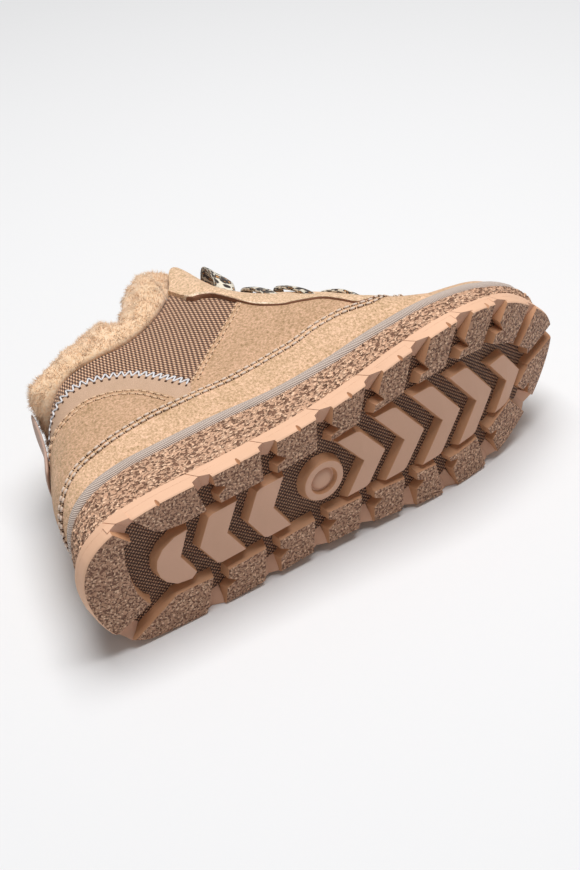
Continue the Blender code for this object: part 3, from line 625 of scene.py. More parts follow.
def build_mottle(tree, into):
    """Uneven dye and handling: broad patches and fine grain that darken and warm a colour."""
    broad = speckle(tree, into["Place"], ratio(tree, 1.0, into["Patch"]), 3.0)
    fine = speckle(tree, into["Place"], ratio(tree, 1.0, into["Grain"]), 4.0, 0.7)
    patch = times(tree, minus(tree, broad, 0.5), into["Patch Strength"])
    grain = times(tree, minus(tree, fine, 0.5), into["Grain Strength"])
    tone = plus(tree, plus(tree, patch, grain), 1.0)
    shaded = put(tree, "CombineXYZ", {0: tone, 1: tone, 2: sums(tree, "POWER", tone, 1.35)}).outputs[0]
    return [blend(tree, 1.0, into["Colour"], shaded, "MULTIPLY")]


def build_pebble(tree, into):
    """Moulded pebble: close rounded beads with worm-like gaps, and deeper pits between some of them; besides
    the height it gives a share of painted shade for the gaps and pits, and a share of painted highlight for
    the beads' tops.
    """
    scaled = vector_sums(tree, "MULTIPLY", into["Place"], into["Stretch"])
    twist = speckle(tree, scaled, 0.7, 2.0)
    warp = vector_sums(tree, "ADD", scaled, put(tree, "CombineXYZ", {0: twist, 1: twist}).outputs[0])
    size = ratio(tree, 1.0, into["Size"])
    beads = put(tree, "TexVoronoi", {"Vector": warp, "Scale": size, "Randomness": 0.95}, feature="F1")
    dome = ramp(tree, beads.outputs["Distance"], 0.18, 0.66, 1.0, 0.0)
    worm = speckle(tree, warp, times(tree, size, 1.35), 1.5, 0.5, 0.5)
    pit = ramp(tree, worm, 0.41, 0.48, 1.0, 0.0)
    open_bead = times(tree, dome, minus(tree, 1.0, pit))
    height = minus(tree, times(tree, plus(tree, dome, worm), 0.6), times(tree, pit, 0.55))
    # Painted shade in the gaps and pits, and a painted highlight on the open beads' tops
    gap = ramp(tree, open_bead, 0.0, 0.55, 1.0, 0.0)
    shade = times(tree, gap, sums(tree, "MULTIPLY_ADD", pit, 0.6, 0.4))
    return [height, shade, ramp(tree, open_bead, 0.55, 1.0)]


def build_lattice(tree, into):
    """Rows of oval beads, each row set half a bead along from the last: weave, mesh or knurling."""
    axes = put(tree, "SeparateXYZ", {0: into["Place"]})
    along = ratio(tree, axes.outputs[0], into["Along"])
    up = ratio(tree, axes.outputs[1], into["Up"])
    reach = []
    for shift in (0.0, 0.5):
        across, rise = (
            ratio(tree, minus(tree, sums(tree, "FRACT", plus(tree, value, shift)), 0.5), half)
            for value, half in ((along, into["Long"]), (up, into["Wide"]))
        )
        squares = (sums(tree, "POWER", value, 2.0) for value in (across, rise))
        reach.append(sums(tree, "SQRT", plus(tree, *squares)))
    away = sums(tree, "MINIMUM", *reach)
    return [ramp(tree, away, 1.35, 0.2), ramp(tree, away, 1.15, 0.75)]


def build_twill(tree, into):
    """Fine slanted ribs of a woven tape."""
    axes = put(tree, "SeparateXYZ", {0: into["Place"]})
    lean = plus(tree, axes.outputs[0], times(tree, axes.outputs[1], into["Slant"]))
    phase = times(tree, ratio(tree, lean, into["Pitch"]), math.tau)
    rib = sums(tree, "MULTIPLY_ADD", sums(tree, "SINE", phase), 0.5, 0.5)
    cross = sums(tree, "SINE", times(tree, ratio(tree, axes.outputs[1], into["Pitch"]), 9.0))
    return [plus(tree, rib, times(tree, cross, 0.12)), rib]


def build_nap(tree, into):
    """Brushed fibre: short hairs of suede or fleece that catch the light unevenly."""
    size = ratio(tree, 1.0, into["Size"])
    hairs = speckle(tree, into["Place"], size, 3.0, 0.75, 0.4)
    tufts = speckle(tree, into["Place"], times(tree, size, 0.28), 2.0)
    height = plus(tree, hairs, times(tree, tufts, into["Tufts"]))
    return [height, ramp(tree, hairs, 0.32, 0.68)]


EFFECTS = {}


def make_effects():
    """Builds each shared effect once."""
    EFFECTS.clear()
    for name, inputs, outputs, build in (
        ("Mottle", {"Place": None, "Colour": (0.5, 0.5, 0.5, 1.0), "Patch": 20.0, "Grain": 1.0,
                    "Patch Strength": 0.3, "Grain Strength": 0.2}, ["Colour"], build_mottle),
        ("Pebble", {"Place": None, "Stretch": None, "Size": 2.4}, ["Height", "Pits", "Crests"], build_pebble),
        ("Lattice", {"Place": None, "Along": 2.0, "Up": 2.0, "Long": 0.3, "Wide": 0.3}, ["Height", "Bead"],
         build_lattice),
        ("Twill", {"Place": None, "Pitch": 1.0, "Slant": 1.0}, ["Height", "Rib"], build_twill),
        ("Nap", {"Place": None, "Size": 0.6, "Tufts": 1.0}, ["Height", "Light"], build_nap),
    ):
        EFFECTS[name] = effect(name, inputs, outputs, build)


class Finish:
    """One material under way: its tree, its shader and its places to read from."""

    def __init__(self, name, roughness=0.8, **shader):
        old = bpy.data.materials.get(name)
        if old:
            bpy.data.materials.remove(old)
        self.material = bpy.data.materials.new(name)
        self.material.use_nodes = True
        self.tree = self.material.node_tree
        self.shader = self.tree.nodes["Principled BSDF"]
        self.shader.inputs["Roughness"].default_value = roughness
        for label, value in shader.items():
            self.shader.inputs[label.replace("_", " ")].default_value = value

    def on_shoe(self):
        """The place in the shoe's own frame, in millimetres."""
        where = put(self.tree, "TexCoord").outputs["Object"]
        back = LAY.inverted()
        inputs = {"Vector": where, "Rotation": back.to_euler(), "Scale": (1 / MM,) * 3,
                  "Location": back.translation}
        return put(self.tree, "Mapping", inputs).outputs[0]

    def on_cloth(self):
        """The place on the piece's own map, in millimetres."""
        return put(self.tree, "UVMap", uv_map="cloth").outputs[0]

    def read(self, mark):
        return put(self.tree, "Attribute", attribute_name=mark).outputs["Fac"]

    def use(self, name, **inputs):
        made = put(self.tree, "Group", node_tree=EFFECTS[name])
        for label, value in inputs.items():
            socket = made.inputs[label.replace("_", " ")]
            if isinstance(value, bpy.types.NodeSocket):
                self.tree.links.new(value, socket)
            else:
                socket.default_value = value
        return made.outputs

    def mottled(self, place, colour, **inputs):
        colour = colour if isinstance(colour, bpy.types.NodeSocket) else full(colour)
        return self.use("Mottle", Place=place, Colour=colour, **inputs)[0]

    def colour(self, socket):
        self.tree.links.new(socket, self.shader.inputs["Base Color"])

    def relief(self, height, depth, below=None):
        """A bump of that depth in millimetres over the surface, or over another bump."""
        inputs = {"Height": height, "Distance": depth * MM}
        if below:
            inputs["Normal"] = below
        bump = put(self.tree, "Bump", inputs)
        self.tree.links.new(bump.outputs[0], self.shader.inputs["Normal"])
        return bump.outputs[0]


def pebble_shade_and_highlight(finish, pebble, tone, looks):
    """Painted shade in the pits and painted highlights on the crests, over a colour."""
    dark = times(finish.tree, pebble["Pits"], looks.pit_shade)
    tone = blend(finish.tree, dark, tone, full(looks.painted_pit_shade))
    return blend(finish.tree, times(finish.tree, pebble["Crests"], 0.6), tone, full(looks.painted_crest_highlight))


def rubber_finish(name, colour, pattern, looks):
    """Moulded rubber: plain, pebbled or knurled."""
    finish = Finish(name, 0.62, Specular_IOR_Level=0.35)
    shoe = finish.on_shoe()
    tone = finish.mottled(shoe, colour, Patch=26.0, Grain=0.8, Patch_Strength=0.14, Grain_Strength=0.08)
    grain = finish.use("Nap", Place=shoe, Size=0.5, Tufts=0.4)
    skin = finish.relief(grain["Height"], 0.05)
    if pattern == "pebble":
        pebble = finish.use("Pebble", Place=shoe, Stretch=(1.0, 1.0, 1.0), Size=looks.pebble_size)
        # Painted shade in the lug faces' pits and painted highlights on their crests
        tone = pebble_shade_and_highlight(finish, pebble, tone, looks)
        finish.relief(pebble["Height"], looks.pebble_depth, skin)
    elif pattern == "knurl":
        pitch = looks.knurl_pitch
        bead = finish.use("Lattice", Place=shoe, Along=pitch, Up=pitch * 0.95, Long=0.27, Wide=0.27)
        # Painted shade between the knurl's studs
        dark = minus(finish.tree, 1.0, bead["Bead"])
        tone = blend(finish.tree, dark, tone, full(looks.painted_knurl_shade))
        finish.relief(bead["Height"], 1.0, skin)
    finish.colour(tone)
    return finish.material


def suede_finish(name, colour, looks):
    """Brushed suede: a fine nap whose hairs take a paler colour where they catch the light, a painted
    highlight, over soft patches where the pile lies another way.
    """
    finish = Finish(name, 0.92, Sheen_Weight=0.35, Sheen_Roughness=0.45, Specular_IOR_Level=0.2,
                    Sheen_Tint=full(srgb(255, 232, 205)))
    shoe = finish.on_shoe()
    nap = finish.use("Nap", Place=shoe, Size=looks.nap_size, Tufts=1.2)
    tone = finish.mottled(shoe, colour, Patch=17.0, Grain=1.1, Patch_Strength=0.45, Grain_Strength=2.6)
    # Paler colour where the nap catches the light: a painted highlight
    pale = full(tuple(min(1.0, 1.25 * c + 0.05) for c in colour))
    tone = blend(finish.tree, times(finish.tree, nap["Light"], 0.22), tone, pale)
    finish.colour(tone)
    finish.relief(nap["Height"], looks.nap_depth)
    return finish.material


def leather_finish(name, colour, roughness=0.55):
    """Smooth leather: a close irregular grain with faint creases."""
    finish = Finish(name, roughness, Specular_IOR_Level=0.35)
    shoe = finish.on_shoe()
    pores = put(finish.tree, "TexVoronoi", {"Vector": shoe, "Scale": 1.3}, feature="DISTANCE_TO_EDGE")
    grain = ramp(finish.tree, pores.outputs["Distance"], 0.0, 0.25)
    finish.colour(finish.mottled(shoe, colour, Patch=9.0, Grain=1.1, Patch_Strength=0.2, Grain_Strength=0.12))
    finish.relief(grain, 0.09)
    return finish.material


def mesh_finish(looks):
    """Woven mesh: pale oval threads in staggered rows, the pale thread colour with a painted highlight on the
    beads, and painted shade in the holes between their ends.
    """
    finish = Finish("woven_mesh", 0.72, Sheen_Weight=0.15)
    tree = finish.tree
    cloth = finish.on_cloth()
    pitch = looks.mesh_pitch
    lean = put(tree, "SeparateXYZ", {0: cloth})
    leaning = put(tree, "CombineXYZ", {0: sums(tree, "MULTIPLY_ADD", lean.outputs[1], 0.1, lean.outputs[0]),
                                       1: lean.outputs[1]}).outputs[0]
    bead = finish.use("Lattice", Place=leaning, Along=pitch, Up=pitch * 1.8, Long=0.30, Wide=0.15)
    aside = vector_sums(tree, "ADD", leaning, (pitch / 2, 0.0, 0.0))
    hole = finish.use("Lattice", Place=aside, Along=pitch, Up=pitch * 1.8, Long=0.24, Wide=0.21)
    cord = finish.mottled(cloth, looks.mesh_cord, Patch=14.0, Grain=1.3, Patch_Strength=0.5,
                          Grain_Strength=0.4)
    # Painted shade in the holes between the threads
    woven = blend(tree, hole["Bead"], cord, full(looks.mesh_hole_shade))
    # Pale thread colour with a painted highlight on the beads
    finish.colour(blend(tree, bead["Bead"], woven, full(looks.mesh_thread_highlight)))
    finish.relief(minus(tree, bead["Height"], hole["Height"]), 0.4)
    return finish.material


def twill_finish(name, colour, shadow, pitch):
    """Woven tape with fine slanted ribs."""
    finish = Finish(name, 0.8, Sheen_Weight=0.2)
    cloth = finish.on_cloth()
    twill = finish.use("Twill", Place=cloth, Pitch=pitch, Slant=0.62)
    tone = finish.mottled(cloth, colour, Patch=30.0, Grain=1.6, Patch_Strength=0.16, Grain_Strength=0.22)
    dark = times(finish.tree, minus(finish.tree, 1.0, twill["Rib"]), 0.75)
    finish.colour(blend(finish.tree, dark, tone, full(shadow)))
    finish.relief(twill["Height"], 0.32)
    return finish.material


def fleece_finish(name, tip, root, size):
    """Curly fleece seen between the locks, or shorn lining: the darker root colour as painted shade and the
    tip colour as painted highlight where the curls catch the light.
    """
    finish = Finish(name, 1.0, Sheen_Weight=0.4, Sheen_Roughness=0.6, Specular_IOR_Level=0.1)
    shoe = finish.on_shoe()
    curl = finish.use("Nap", Place=shoe, Size=size, Tufts=1.6)
    tone = blend(finish.tree, curl["Light"], full(root), full(tip))
    finish.colour(finish.mottled(shoe, tone, Patch=12.0, Grain=1.0, Patch_Strength=0.3, Grain_Strength=0.3))
    finish.relief(curl["Height"], 0.25)
    return finish.material


def hair_finish(looks):
    """Fleece hairs: darker at the root, pale at the tip, and honey in some of the locks."""
    finish = Finish("fleece_hair", 0.75, Sheen_Weight=0.35, Sheen_Roughness=0.5, Specular_IOR_Level=0.2)
    along, tone = finish.read("along"), finish.read("tone")
    rise = ramp(finish.tree, along, 0.05, 0.75)
    colour = blend(finish.tree, rise, full(looks.fur_root), full(looks.fur_tip))
    pale = blend(finish.tree, times(finish.tree, tone, 0.6), colour, full(looks.fur_honey))
    finish.colour(pale)
    return finish.material


def thread_finish(name, colour):
    finish = Finish(name, 0.6, Sheen_Weight=0.2)
    shoe = finish.on_shoe()
    finish.colour(finish.mottled(shoe, colour, Patch=6.0, Grain=0.5, Patch_Strength=0.15, Grain_Strength=0.3))
    return finish.material


def leopard_finish(looks):
    """Lace cloth in a spotted animal pattern: broken dark rings round gold on cream, over a fine weave with
    painted shade along its ribs.
    """
    finish = Finish("spotted_lace", 0.75, Sheen_Weight=0.2)
    cloth = finish.on_cloth()
    tree = finish.tree
    warp = speckle(tree, cloth, 0.35, 2.0)
    shifted = vector_sums(tree, "ADD", cloth, put(tree, "CombineXYZ", {0: warp, 1: warp}).outputs[0])
    spots = put(tree, "TexVoronoi", {"Vector": shifted, "Scale": 0.62, "Randomness": 0.8}).outputs["Distance"]
    ring = times(tree, ramp(tree, spots, 0.24, 0.32), ramp(tree, spots, 0.66, 0.54))
    broken = ramp(tree, speckle(tree, cloth, 0.9, 1.0), 0.28, 0.36)
    ring = times(tree, ring, broken)
    ground = blend(tree, ramp(tree, spots, 0.42, 0.28), full(looks.lace_cream), full(looks.lace_gold))
    weave = finish.use("Twill", Place=cloth, Pitch=0.7, Slant=0.9)
    colour = blend(tree, ring, ground, full(looks.lace_black))
    # Painted shade along the weave's ribs
    finish.colour(blend(tree, times(tree, weave["Rib"], 0.18), colour, full(srgb(96, 60, 40))))
    finish.relief(weave["Height"], 0.2)
    return finish.material


# ---------------------------------------------------------------- what a user would change

ColourProperty = partial(FloatVectorProperty, subtype="COLOR", min=0, max=1)


class SneakerSole(bpy.types.PropertyGroup):
    """Rubber of the outsole and midsole, and the cord round their join."""

    # The band's rubber painted darker, as shade on the lug faces and floor turned from the overhead light
    rubber: ColourProperty(name="Tread rubber", description="Colour of the lugs' faces and the floor",
                           default=srgb(210, 164, 134))
    # The band's rubber painted darker, as shade on the chevrons, pad and disc turned from the overhead light
    tread: ColourProperty(name="Chevrons", description="Colour of the smooth chevrons, pad and disc",
                          default=srgb(210, 166, 140))
    # Painted shade and bounced light: the rubber of the walls between lugs painted darker and warmer than the
    # band
    tread_wall: ColourProperty(name="Shaded tread walls", description="Colour of the walls between lugs",
                               default=srgb(194, 144, 108))
    # Painted shade between the studs of the knurled floor
    painted_knurl_shade: ColourProperty(name="Knurl gap shade", description="Colour between the studs of the floor",
                              default=srgb(72, 44, 32))
    # Painted highlight on the pebbles' tops
    painted_crest_highlight: ColourProperty(name="Crests", description="Colour on top of the pebbles",
                                 default=srgb(250, 212, 180))
    band: ColourProperty(name="Side band", description="Colour of the smooth band above the lugs",
                         default=srgb(230, 185, 153))
    foam: ColourProperty(name="Midsole", description="Colour of the pebbled midsole",
                         default=srgb(238, 192, 158))
    # Painted shade deep in the pits between the pebbles
    painted_pit_shade: ColourProperty(name="Pits", description="Colour deep between the pebbles",
                               default=srgb(104, 62, 42))
    cord: ColourProperty(name="Cord", description="Colour of the twill over the cord",
                         default=srgb(242, 224, 210))
    pit_shade: FloatProperty(name="Pit shade", description="How dark the gaps between pebbles look",
                             default=0.85, min=0, max=1, subtype="FACTOR")
    pebble_size: FloatProperty(name="Pebble size", description="Width of a pebble, in millimetres",
                               default=1.45, min=0.5, max=8)
    pebble_depth: FloatProperty(name="Pebble depth", description="Depth of the gaps, in millimetres",
                                default=0.9, min=0, max=2)
    knurl_pitch: FloatProperty(name="Knurl pitch", description="Spacing of the studs between the lugs, "
                               "in millimetres", default=2.0, min=0.5, max=6)
    edge_round: FloatProperty(name="Edge rounding", description="Rounding of the tread's edges, in "
                              "millimetres", default=0.4, min=0.05, max=1)


class SneakerUpper(bpy.types.PropertyGroup):
    """Suede, leather, mesh and thread of the upper."""

    suede: ColourProperty(name="Suede", description="Colour of the suede at the heel and sides",
                          default=srgb(201, 162, 128))
    vamp: ColourProperty(name="Vamp", description="Colour of the suede over the toes",
                         default=srgb(221, 182, 146))
    facing: ColourProperty(name="Facing", description="Colour of the lace facings",
                           default=srgb(228, 192, 157))
    # Painted highlight along the facing's raised lip
    lip: ColourProperty(name="Facing lip highlight", description="Colour of the facing's folded edge",
                        default=srgb(242, 212, 182))
    cut_edge: ColourProperty(name="Cut edge", description="Colour of the facing's cut edge",
                             default=srgb(150, 106, 82))
    leather: ColourProperty(name="Leather strip", description="Colour of the smooth strip",
                            default=srgb(201, 167, 140))
    tab: ColourProperty(name="Heel tab", description="Colour of the pull tab", default=srgb(190, 160, 144))
    # The pale thread with a painted highlight on its beads
    mesh_thread_highlight: ColourProperty(name="Mesh thread highlight", description="Colour of the mesh's pale threads",
                                default=srgb(244, 204, 168))
    mesh_cord: ColourProperty(name="Mesh cord", description="Colour of the mesh round its threads",
                              default=srgb(150, 106, 80))
    # Painted shade in the holes of the mesh
    mesh_hole_shade: ColourProperty(name="Mesh hole shade", description="Colour between the mesh's threads",
                             default=srgb(58, 34, 24))
    thread: ColourProperty(name="Thread", description="Colour of the stitches", default=srgb(218, 196, 178))
    zigzag: ColourProperty(name="Zigzag thread", description="Colour of the zigzag on the mesh",
                           default=srgb(224, 222, 224))
    lace_cream: ColourProperty(name="Lace ground", description="Pale ground of the laces",
                               default=srgb(255, 246, 226))
    lace_gold: ColourProperty(name="Lace spots", description="Gold inside the laces' spots",
                              default=srgb(232, 164, 88))
    lace_black: ColourProperty(name="Lace rings", description="Dark rings on the laces",
                               default=srgb(30, 20, 16))
    mesh_pitch: FloatProperty(name="Mesh pitch", description="Length of a thread that shows, in millimetres",
                              default=1.95, min=0.8, max=6)
    nap_size: FloatProperty(name="Nap size", description="Size of the suede's hairs, in millimetres",
                            default=0.9, min=0.2, max=3)
    nap_depth: FloatProperty(name="Nap depth", description="Relief of the suede, in millimetres",
                             default=0.55, min=0, max=1)
    stitch_pitch: FloatProperty(name="Stitch pitch", description="Length of a stitch and its gap, in "
                                "millimetres", default=3.7, min=1.5, max=8)


class SneakerFur(bpy.types.PropertyGroup):
    """Fleece of the collar and tongue."""

    fur_tip: ColourProperty(name="Tips", description="Colour of the fleece's tips",
                            default=srgb(242, 214, 182))
    fur_root: ColourProperty(name="Roots", description="Colour deep in the fleece",
                             default=srgb(232, 196, 160))
    fur_honey: ColourProperty(name="Honey locks", description="Colour of the darker locks",
                              default=srgb(232, 188, 146))
    lining: ColourProperty(name="Lining", description="Colour of the shorn lining and insole",
                           default=srgb(216, 180, 144))
    pile: FloatProperty(name="Pile", description="Length of the hairs, in millimetres",
                        default=4.2, min=2, max=20)
    density: FloatProperty(name="Density", description="Hairs for each square millimetre",
                           default=3.45, min=0.2, max=6)
    hair_width: FloatProperty(name="Hair width", description="Half the width of a hair's root, in "
                              "millimetres", default=0.15, min=0.05, max=1)
    seed: IntProperty(name="Seed", description="Another number lays the hairs another way", default=7, min=0)


class SneakerStage(bpy.types.PropertyGroup):
    """Camera, lights and floor."""

    lens: FloatProperty(name="Lens", description="Focal length on a 36 mm sensor", default=59.378,
                        min=20, max=200, unit="CAMERA")
    key: FloatProperty(name="Key light", description="Power of the softbox overhead", default=24.0,
                       min=0, max=500, unit="POWER")
    sky: FloatProperty(name="Sky", description="Strength of the even light from all round",
                       default=0.22, min=0, max=3)
    floor: ColourProperty(name="Floor", description="Colour of the floor", default=srgb(233, 233, 234))


def settings(name):
    return getattr(bpy.context.scene, "sneaker_" + name)


# ---------------------------------------------------------------- the sole

Groove = namedtuple("Groove", "edge_x edge_y inner_x inner_y width")
LATERAL_GROOVES = [
    Groove(*row)
    for row in (
        (14, -41, 34, -15, 5.5), (57, -40, 61, -14, 5.0), (89, -40, 87, -14, 5.0), (117, -42, 113, -14, 5.0),
        (144, -47, 134, -18, 5.0), (169, -52, 157, -20, 5.5), (194, -51, 179, -20, 5.5),
        (218, -44, 201, -18, 5.5), (244, -27, 222, -8, 5.0),
    )
]
MEDIAL_GROOVES = [
    Groove(*row)
    for row in (
        (4, 28, 36, 12, 6.0), (51, 40, 59, 13, 5.5), (80, 41, 84, 13, 5.0), (105, 41, 109, 11, 5.0),
        (129, 42, 133, 14, 5.0), (152, 47, 156, 16, 5.0), (178, 50, 172, 18, 5.5),
        (206, 50, 197, 20, 5.5), (238, 38, 220, 15, 5.5), (259, 2, 227, 5, 4.5),
    )
]
# The channel between the two rows of lugs: place along the sole, then its edge's distance from the middle.
CHANNEL_LATERAL = (
    (20.5, -4.0), (20.0, -14.0), (21.0, -21.0), (29.0, -23.0), (37.0, -18.5), (46.0, -17.0), (60.0, -17.3),
    (90.0, -17.0), (112.0, -18.0), (132.0, -20.5), (158.0, -24.0), (182.0, -25.0), (204.0, -21.0),
    (218.0, -13.0), (231.0, -1.0),
)
CHANNEL_MEDIAL = (
    (231.0, 8.0), (218.0, 17.0), (204.0, 23.0), (182.0, 24.5), (158.0, 21.5), (132.0, 18.0), (112.0, 16.0),
    (90.0, 16.5), (60.0, 17.0), (44.0, 15.5), (36.0, 15.0), (30.0, 16.5), (24.5, 11.0), (21.5, 4.0),
)
Chevron = namedtuple("Chevron", "tip notch middle lateral medial sweep")
CHEVRONS = [
    Chevron(*row)
    for row in (
        (50.5, 64.5, -1.0, 14.0, 14.0, 0.50), (73.5, 87.0, -0.8, 14.0, 14.0, 0.50),
        (144.0, 132.0, 0.2, 17.5, 15.0, 0.70), (165.0, 153.3, 0.8, 20.5, 17.0, 0.70),
        (186.0, 174.5, 2.2, 22.5, 18.5, 0.70), (206.5, 195.3, 4.2, 22.5, 18.0, 0.70),
        (226.5, 216.0, 6.5, 16.5, 13.0, 0.70),
    )
]
HEEL_PAD = ((30.5, -1.5), (31.5, -6.0), (35.0, -10.5), (41.0, -13.5), (48.0, -14.0), (42.5, -1.5),
            (48.0, 10.5), (45.0, 13.0), (38.0, 11.5), (33.5, 7.5), (31.2, 3.0))
DISC = (112.0, -0.5)
# Slots of the outsole: smooth side band, pebbled lug faces, knurled floor, smooth tops, walls between lugs;
# all but the band take its rubber painted darker as shade.
BAND_SIDE, FACE, FLOOR, TOP, INNER_WALL = range(5)
# Nicks in the lugs' outer edges: places along the sole where each lug steps.
LATERAL_NICKS = (37.0, 74.0, 103.0, 129.0, 155.0, 181.0, 205.0)
MEDIAL_NICKS = (31.0, 67.0, 94.0, 118.0, 141.0, 165.0, 190.0, 220.0)


GROOVE_MOUTH, GROOVE_FLOOR = 0.74, 0.5      # shares of a groove's width on each side of its middle


def bar_corners(groove, extra):
    """Plan of a groove, wider towards the sole's edge."""
    start = Vector((groove.edge_x, groove.edge_y))
    end = Vector((groove.inner_x, groove.inner_y))
    along = (end - start).normalized()
    across = Vector((-along.y, along.x))
    mouth, inner = (across * (groove.width * share + extra) for share in (GROOVE_MOUTH, GROOVE_FLOOR))
    return [start + mouth, start - mouth, end - inner, end + inner]


def pocket_corners(groove):
    """Plan of the triangular pocket on a groove's toe side."""
    start = Vector((groove.edge_x, groove.edge_y))
    along = Vector((groove.inner_x, groove.inner_y)) - start
    place = start + along * 0.60
    along.normalize()
    across = Vector((abs(along.y), -math.copysign(along.x, along.x * along.y)))
    wall = place + across * groove.width * 0.40
    return [wall - along * 4.2, wall + across * 6.0 + along * 0.6, wall + along * 3.4]


def chevron_corners(chevron):
    """Plan of a chevron: two swept arms that meet in a tip, with their outer corners cut off."""
    back = chevron.notch - chevron.tip
    sweep = math.copysign(chevron.sweep, back)
    arms = []
    for side, reach in ((-1, chevron.lateral), (1, chevron.medial)):
        y = chevron.middle + side * reach
        arms.append([
            (chevron.tip + sweep * (reach - 1.0), chevron.middle + side * (reach - 1.0)),
            (chevron.tip + sweep * reach + back * 0.12, y),
            (chevron.notch + sweep * reach, y),
        ])
    lateral, medial = arms
    return [(chevron.tip, chevron.middle), *lateral, (chevron.notch, chevron.middle), *medial[::-1]]


def edge_at(x, side):
    """Where the outsole's edge is at a place along it, straight out from there, and towards the toe."""
    fine = np.linspace(0, TOE, 400) if side < 0 else AROUND - np.linspace(0, TOE, 400)
    plan = outline(fine)
    pick = int(np.argmin(abs(plan[:, 0] - x)))
    inwards = outline(fine[pick : pick + 1], 1.0)[0] - plan[pick]
    out = -inwards / np.linalg.norm(inwards)
    return plan[pick], out, np.array([-out[1], out[0]]) * -side


EDGE_PLAN = outline(np.linspace(0, AROUND, 1400))


def faces_outwards(face):
    """Whether a face belongs to the outsole's outer side."""
    centre, normal = face.calc_center_median(), face.normal
    away = EDGE_PLAN - np.array(centre.xy)
    near = int(np.argmin((away**2).sum(axis=1)))
    if np.hypot(*away[near]) > 1.6:
        return False
    ahead = EDGE_PLAN[(near + 1) % 1399] - EDGE_PLAN[near - 1]
    out = np.array([ahead[1], -ahead[0]]) / np.hypot(*ahead)
    return out @ np.array(normal.xy) > 0.6


def sliced(body, places):
    """Cuts long faces across the sole, so that they can follow its bend."""
    for x in places:
        bmesh.ops.bisect_plane(body, geom=[*body.verts, *body.edges, *body.faces], dist=0.001,
                               plane_co=(x, 0, 0), plane_no=(1, 0, 0))
    return body


def bent_up(body):
    """Lifts the flat-built outsole to its toe spring, and its band to the band's height."""
    for vertex in body.verts:
        x, z = vertex.co.x, vertex.co.z
        lift = float(spring(x))
        if z > LUG_HEIGHT:
            share = (z - LUG_HEIGHT) / (PLATE_TOP - LUG_HEIGHT)
            z = LUG_HEIGHT + share * (float(level(x, BAND)) - LUG_HEIGHT - lift)
        vertex.co.z = z + lift
    return body


def sharp_edges(body, least=25.0, below=LUG_HEIGHT - 0.1):
    return [
        edge for edge in body.edges
        if len(edge.link_faces) == 2 and edge.calc_face_angle(0.0) > math.radians(least)
        and max(vertex.co.z for vertex in edge.verts) < below
    ]


def lug_body(looks):
    """The lugs: one slab with the channel, the grooves, their pockets and the edge's nicks cut out of it."""
    around = np.arange(0, AROUND, 0.2)
    shape = ((0.75, 0.0), (0.35, 0.6), (0.2, 1.6), (0.14, 3.6), (0.14, LUG_HEIGHT - 0.02),
             (0.7, LUG_HEIGHT + 0.3))
    body = tower([with_height(outline(around, inset), height) for inset, height in shape])
    wide = grown([*CHANNEL_LATERAL, *CHANNEL_MEDIAL], 1.3)
    body = carved(body, add_prism(bmesh.new(), wide, -1.0, LUG_HEIGHT + 1.0, -1.8))
    cutter = bmesh.new()
    for groove in LATERAL_GROOVES + MEDIAL_GROOVES:
        add_prism(cutter, bar_corners(groove, 0.9), -1.0, LUG_HEIGHT + 1.0, -1.3)
    body = carved(body, cutter)
    cutter = bmesh.new()
    for groove in LATERAL_GROOVES[1:8] + MEDIAL_GROOVES[1:9]:
        add_prism(cutter, pocket_corners(groove), -0.5, LUG_HEIGHT + 1.0, -0.5)
    for side, places in ((-1, LATERAL_NICKS), (1, MEDIAL_NICKS)):
        for x in places:
            place, out, along = edge_at(x, side)
            outer = place + out * 2
            corners = [outer - along * 2.6, place - out * 2.2 + along * 0.6, outer + along * 3.4]
            add_prism(cutter, corners, -1.0, 2.6, -0.9)
    body = carved(body, cutter)
    bmesh.ops.dissolve_limit(body, angle_limit=math.radians(1.0), verts=body.verts, edges=body.edges)
    rounded(body, sharp_edges(body), looks.edge_round)
    for face in body.faces:
        level_face = face.normal.z < -0.9 and face.calc_center_median().z < 1.0
        face.material_index = FACE if level_face else BAND_SIDE if faces_outwards(face) else INNER_WALL
    return body


def plate_body():
    """The plate above the lugs: its underside is the tread's floor and its edge the smooth band."""
    around = np.arange(0, AROUND, 0.1)
    heights = (LUG_HEIGHT, LUG_HEIGHT + 0.02, 6.0, 7.0, PLATE_TOP - 0.3, PLATE_TOP)
    insets = (0.6, 0.13, 0.05, 0.0, 0.05, 0.4)
    body = tower([with_height(outline(around, inset), height) for inset, height in zip(insets, heights)])
    body = carved(body, slit_cutter())
    for face in body.faces:
        face.material_index = FLOOR if face.calc_center_median().z < LUG_HEIGHT + 0.005 else BAND_SIDE
    return body


def groove_mouths():
    """Where each groove leaves the outsole's edge: the place, and the ways out, to the toe and inwards."""
    for side, grooves in ((-1, LATERAL_GROOVES), (1, MEDIAL_GROOVES[:-1])):
        for groove in grooves:
            start = np.array([groove.edge_x, groove.edge_y], float)
            inwards = np.array([groove.inner_x, groove.inner_y], float) - start
            line = start + inwards * np.linspace(0, 0.5, 200)[:, None]
            away = np.linalg.norm(line[:, None] - EDGE_PLAN[None], axis=2).min(axis=1)
            yield groove, *edge_at(line[int(np.argmin(away))][0], side), inwards / np.linalg.norm(inwards)


def slit_cutter():
    """Thin slits that run on up the band from each groove."""
    slits = bmesh.new()
    for _groove, place, out, along, _inwards in groove_mouths():
        corners = [place + out * 2 - along * 0.5, place - out * 1.5, place + out * 2 + along * 0.5]
        add_prism(slits, corners, 2.6, PLATE_TOP + 0.5, 0.0, -along * 4.5)
    return slits


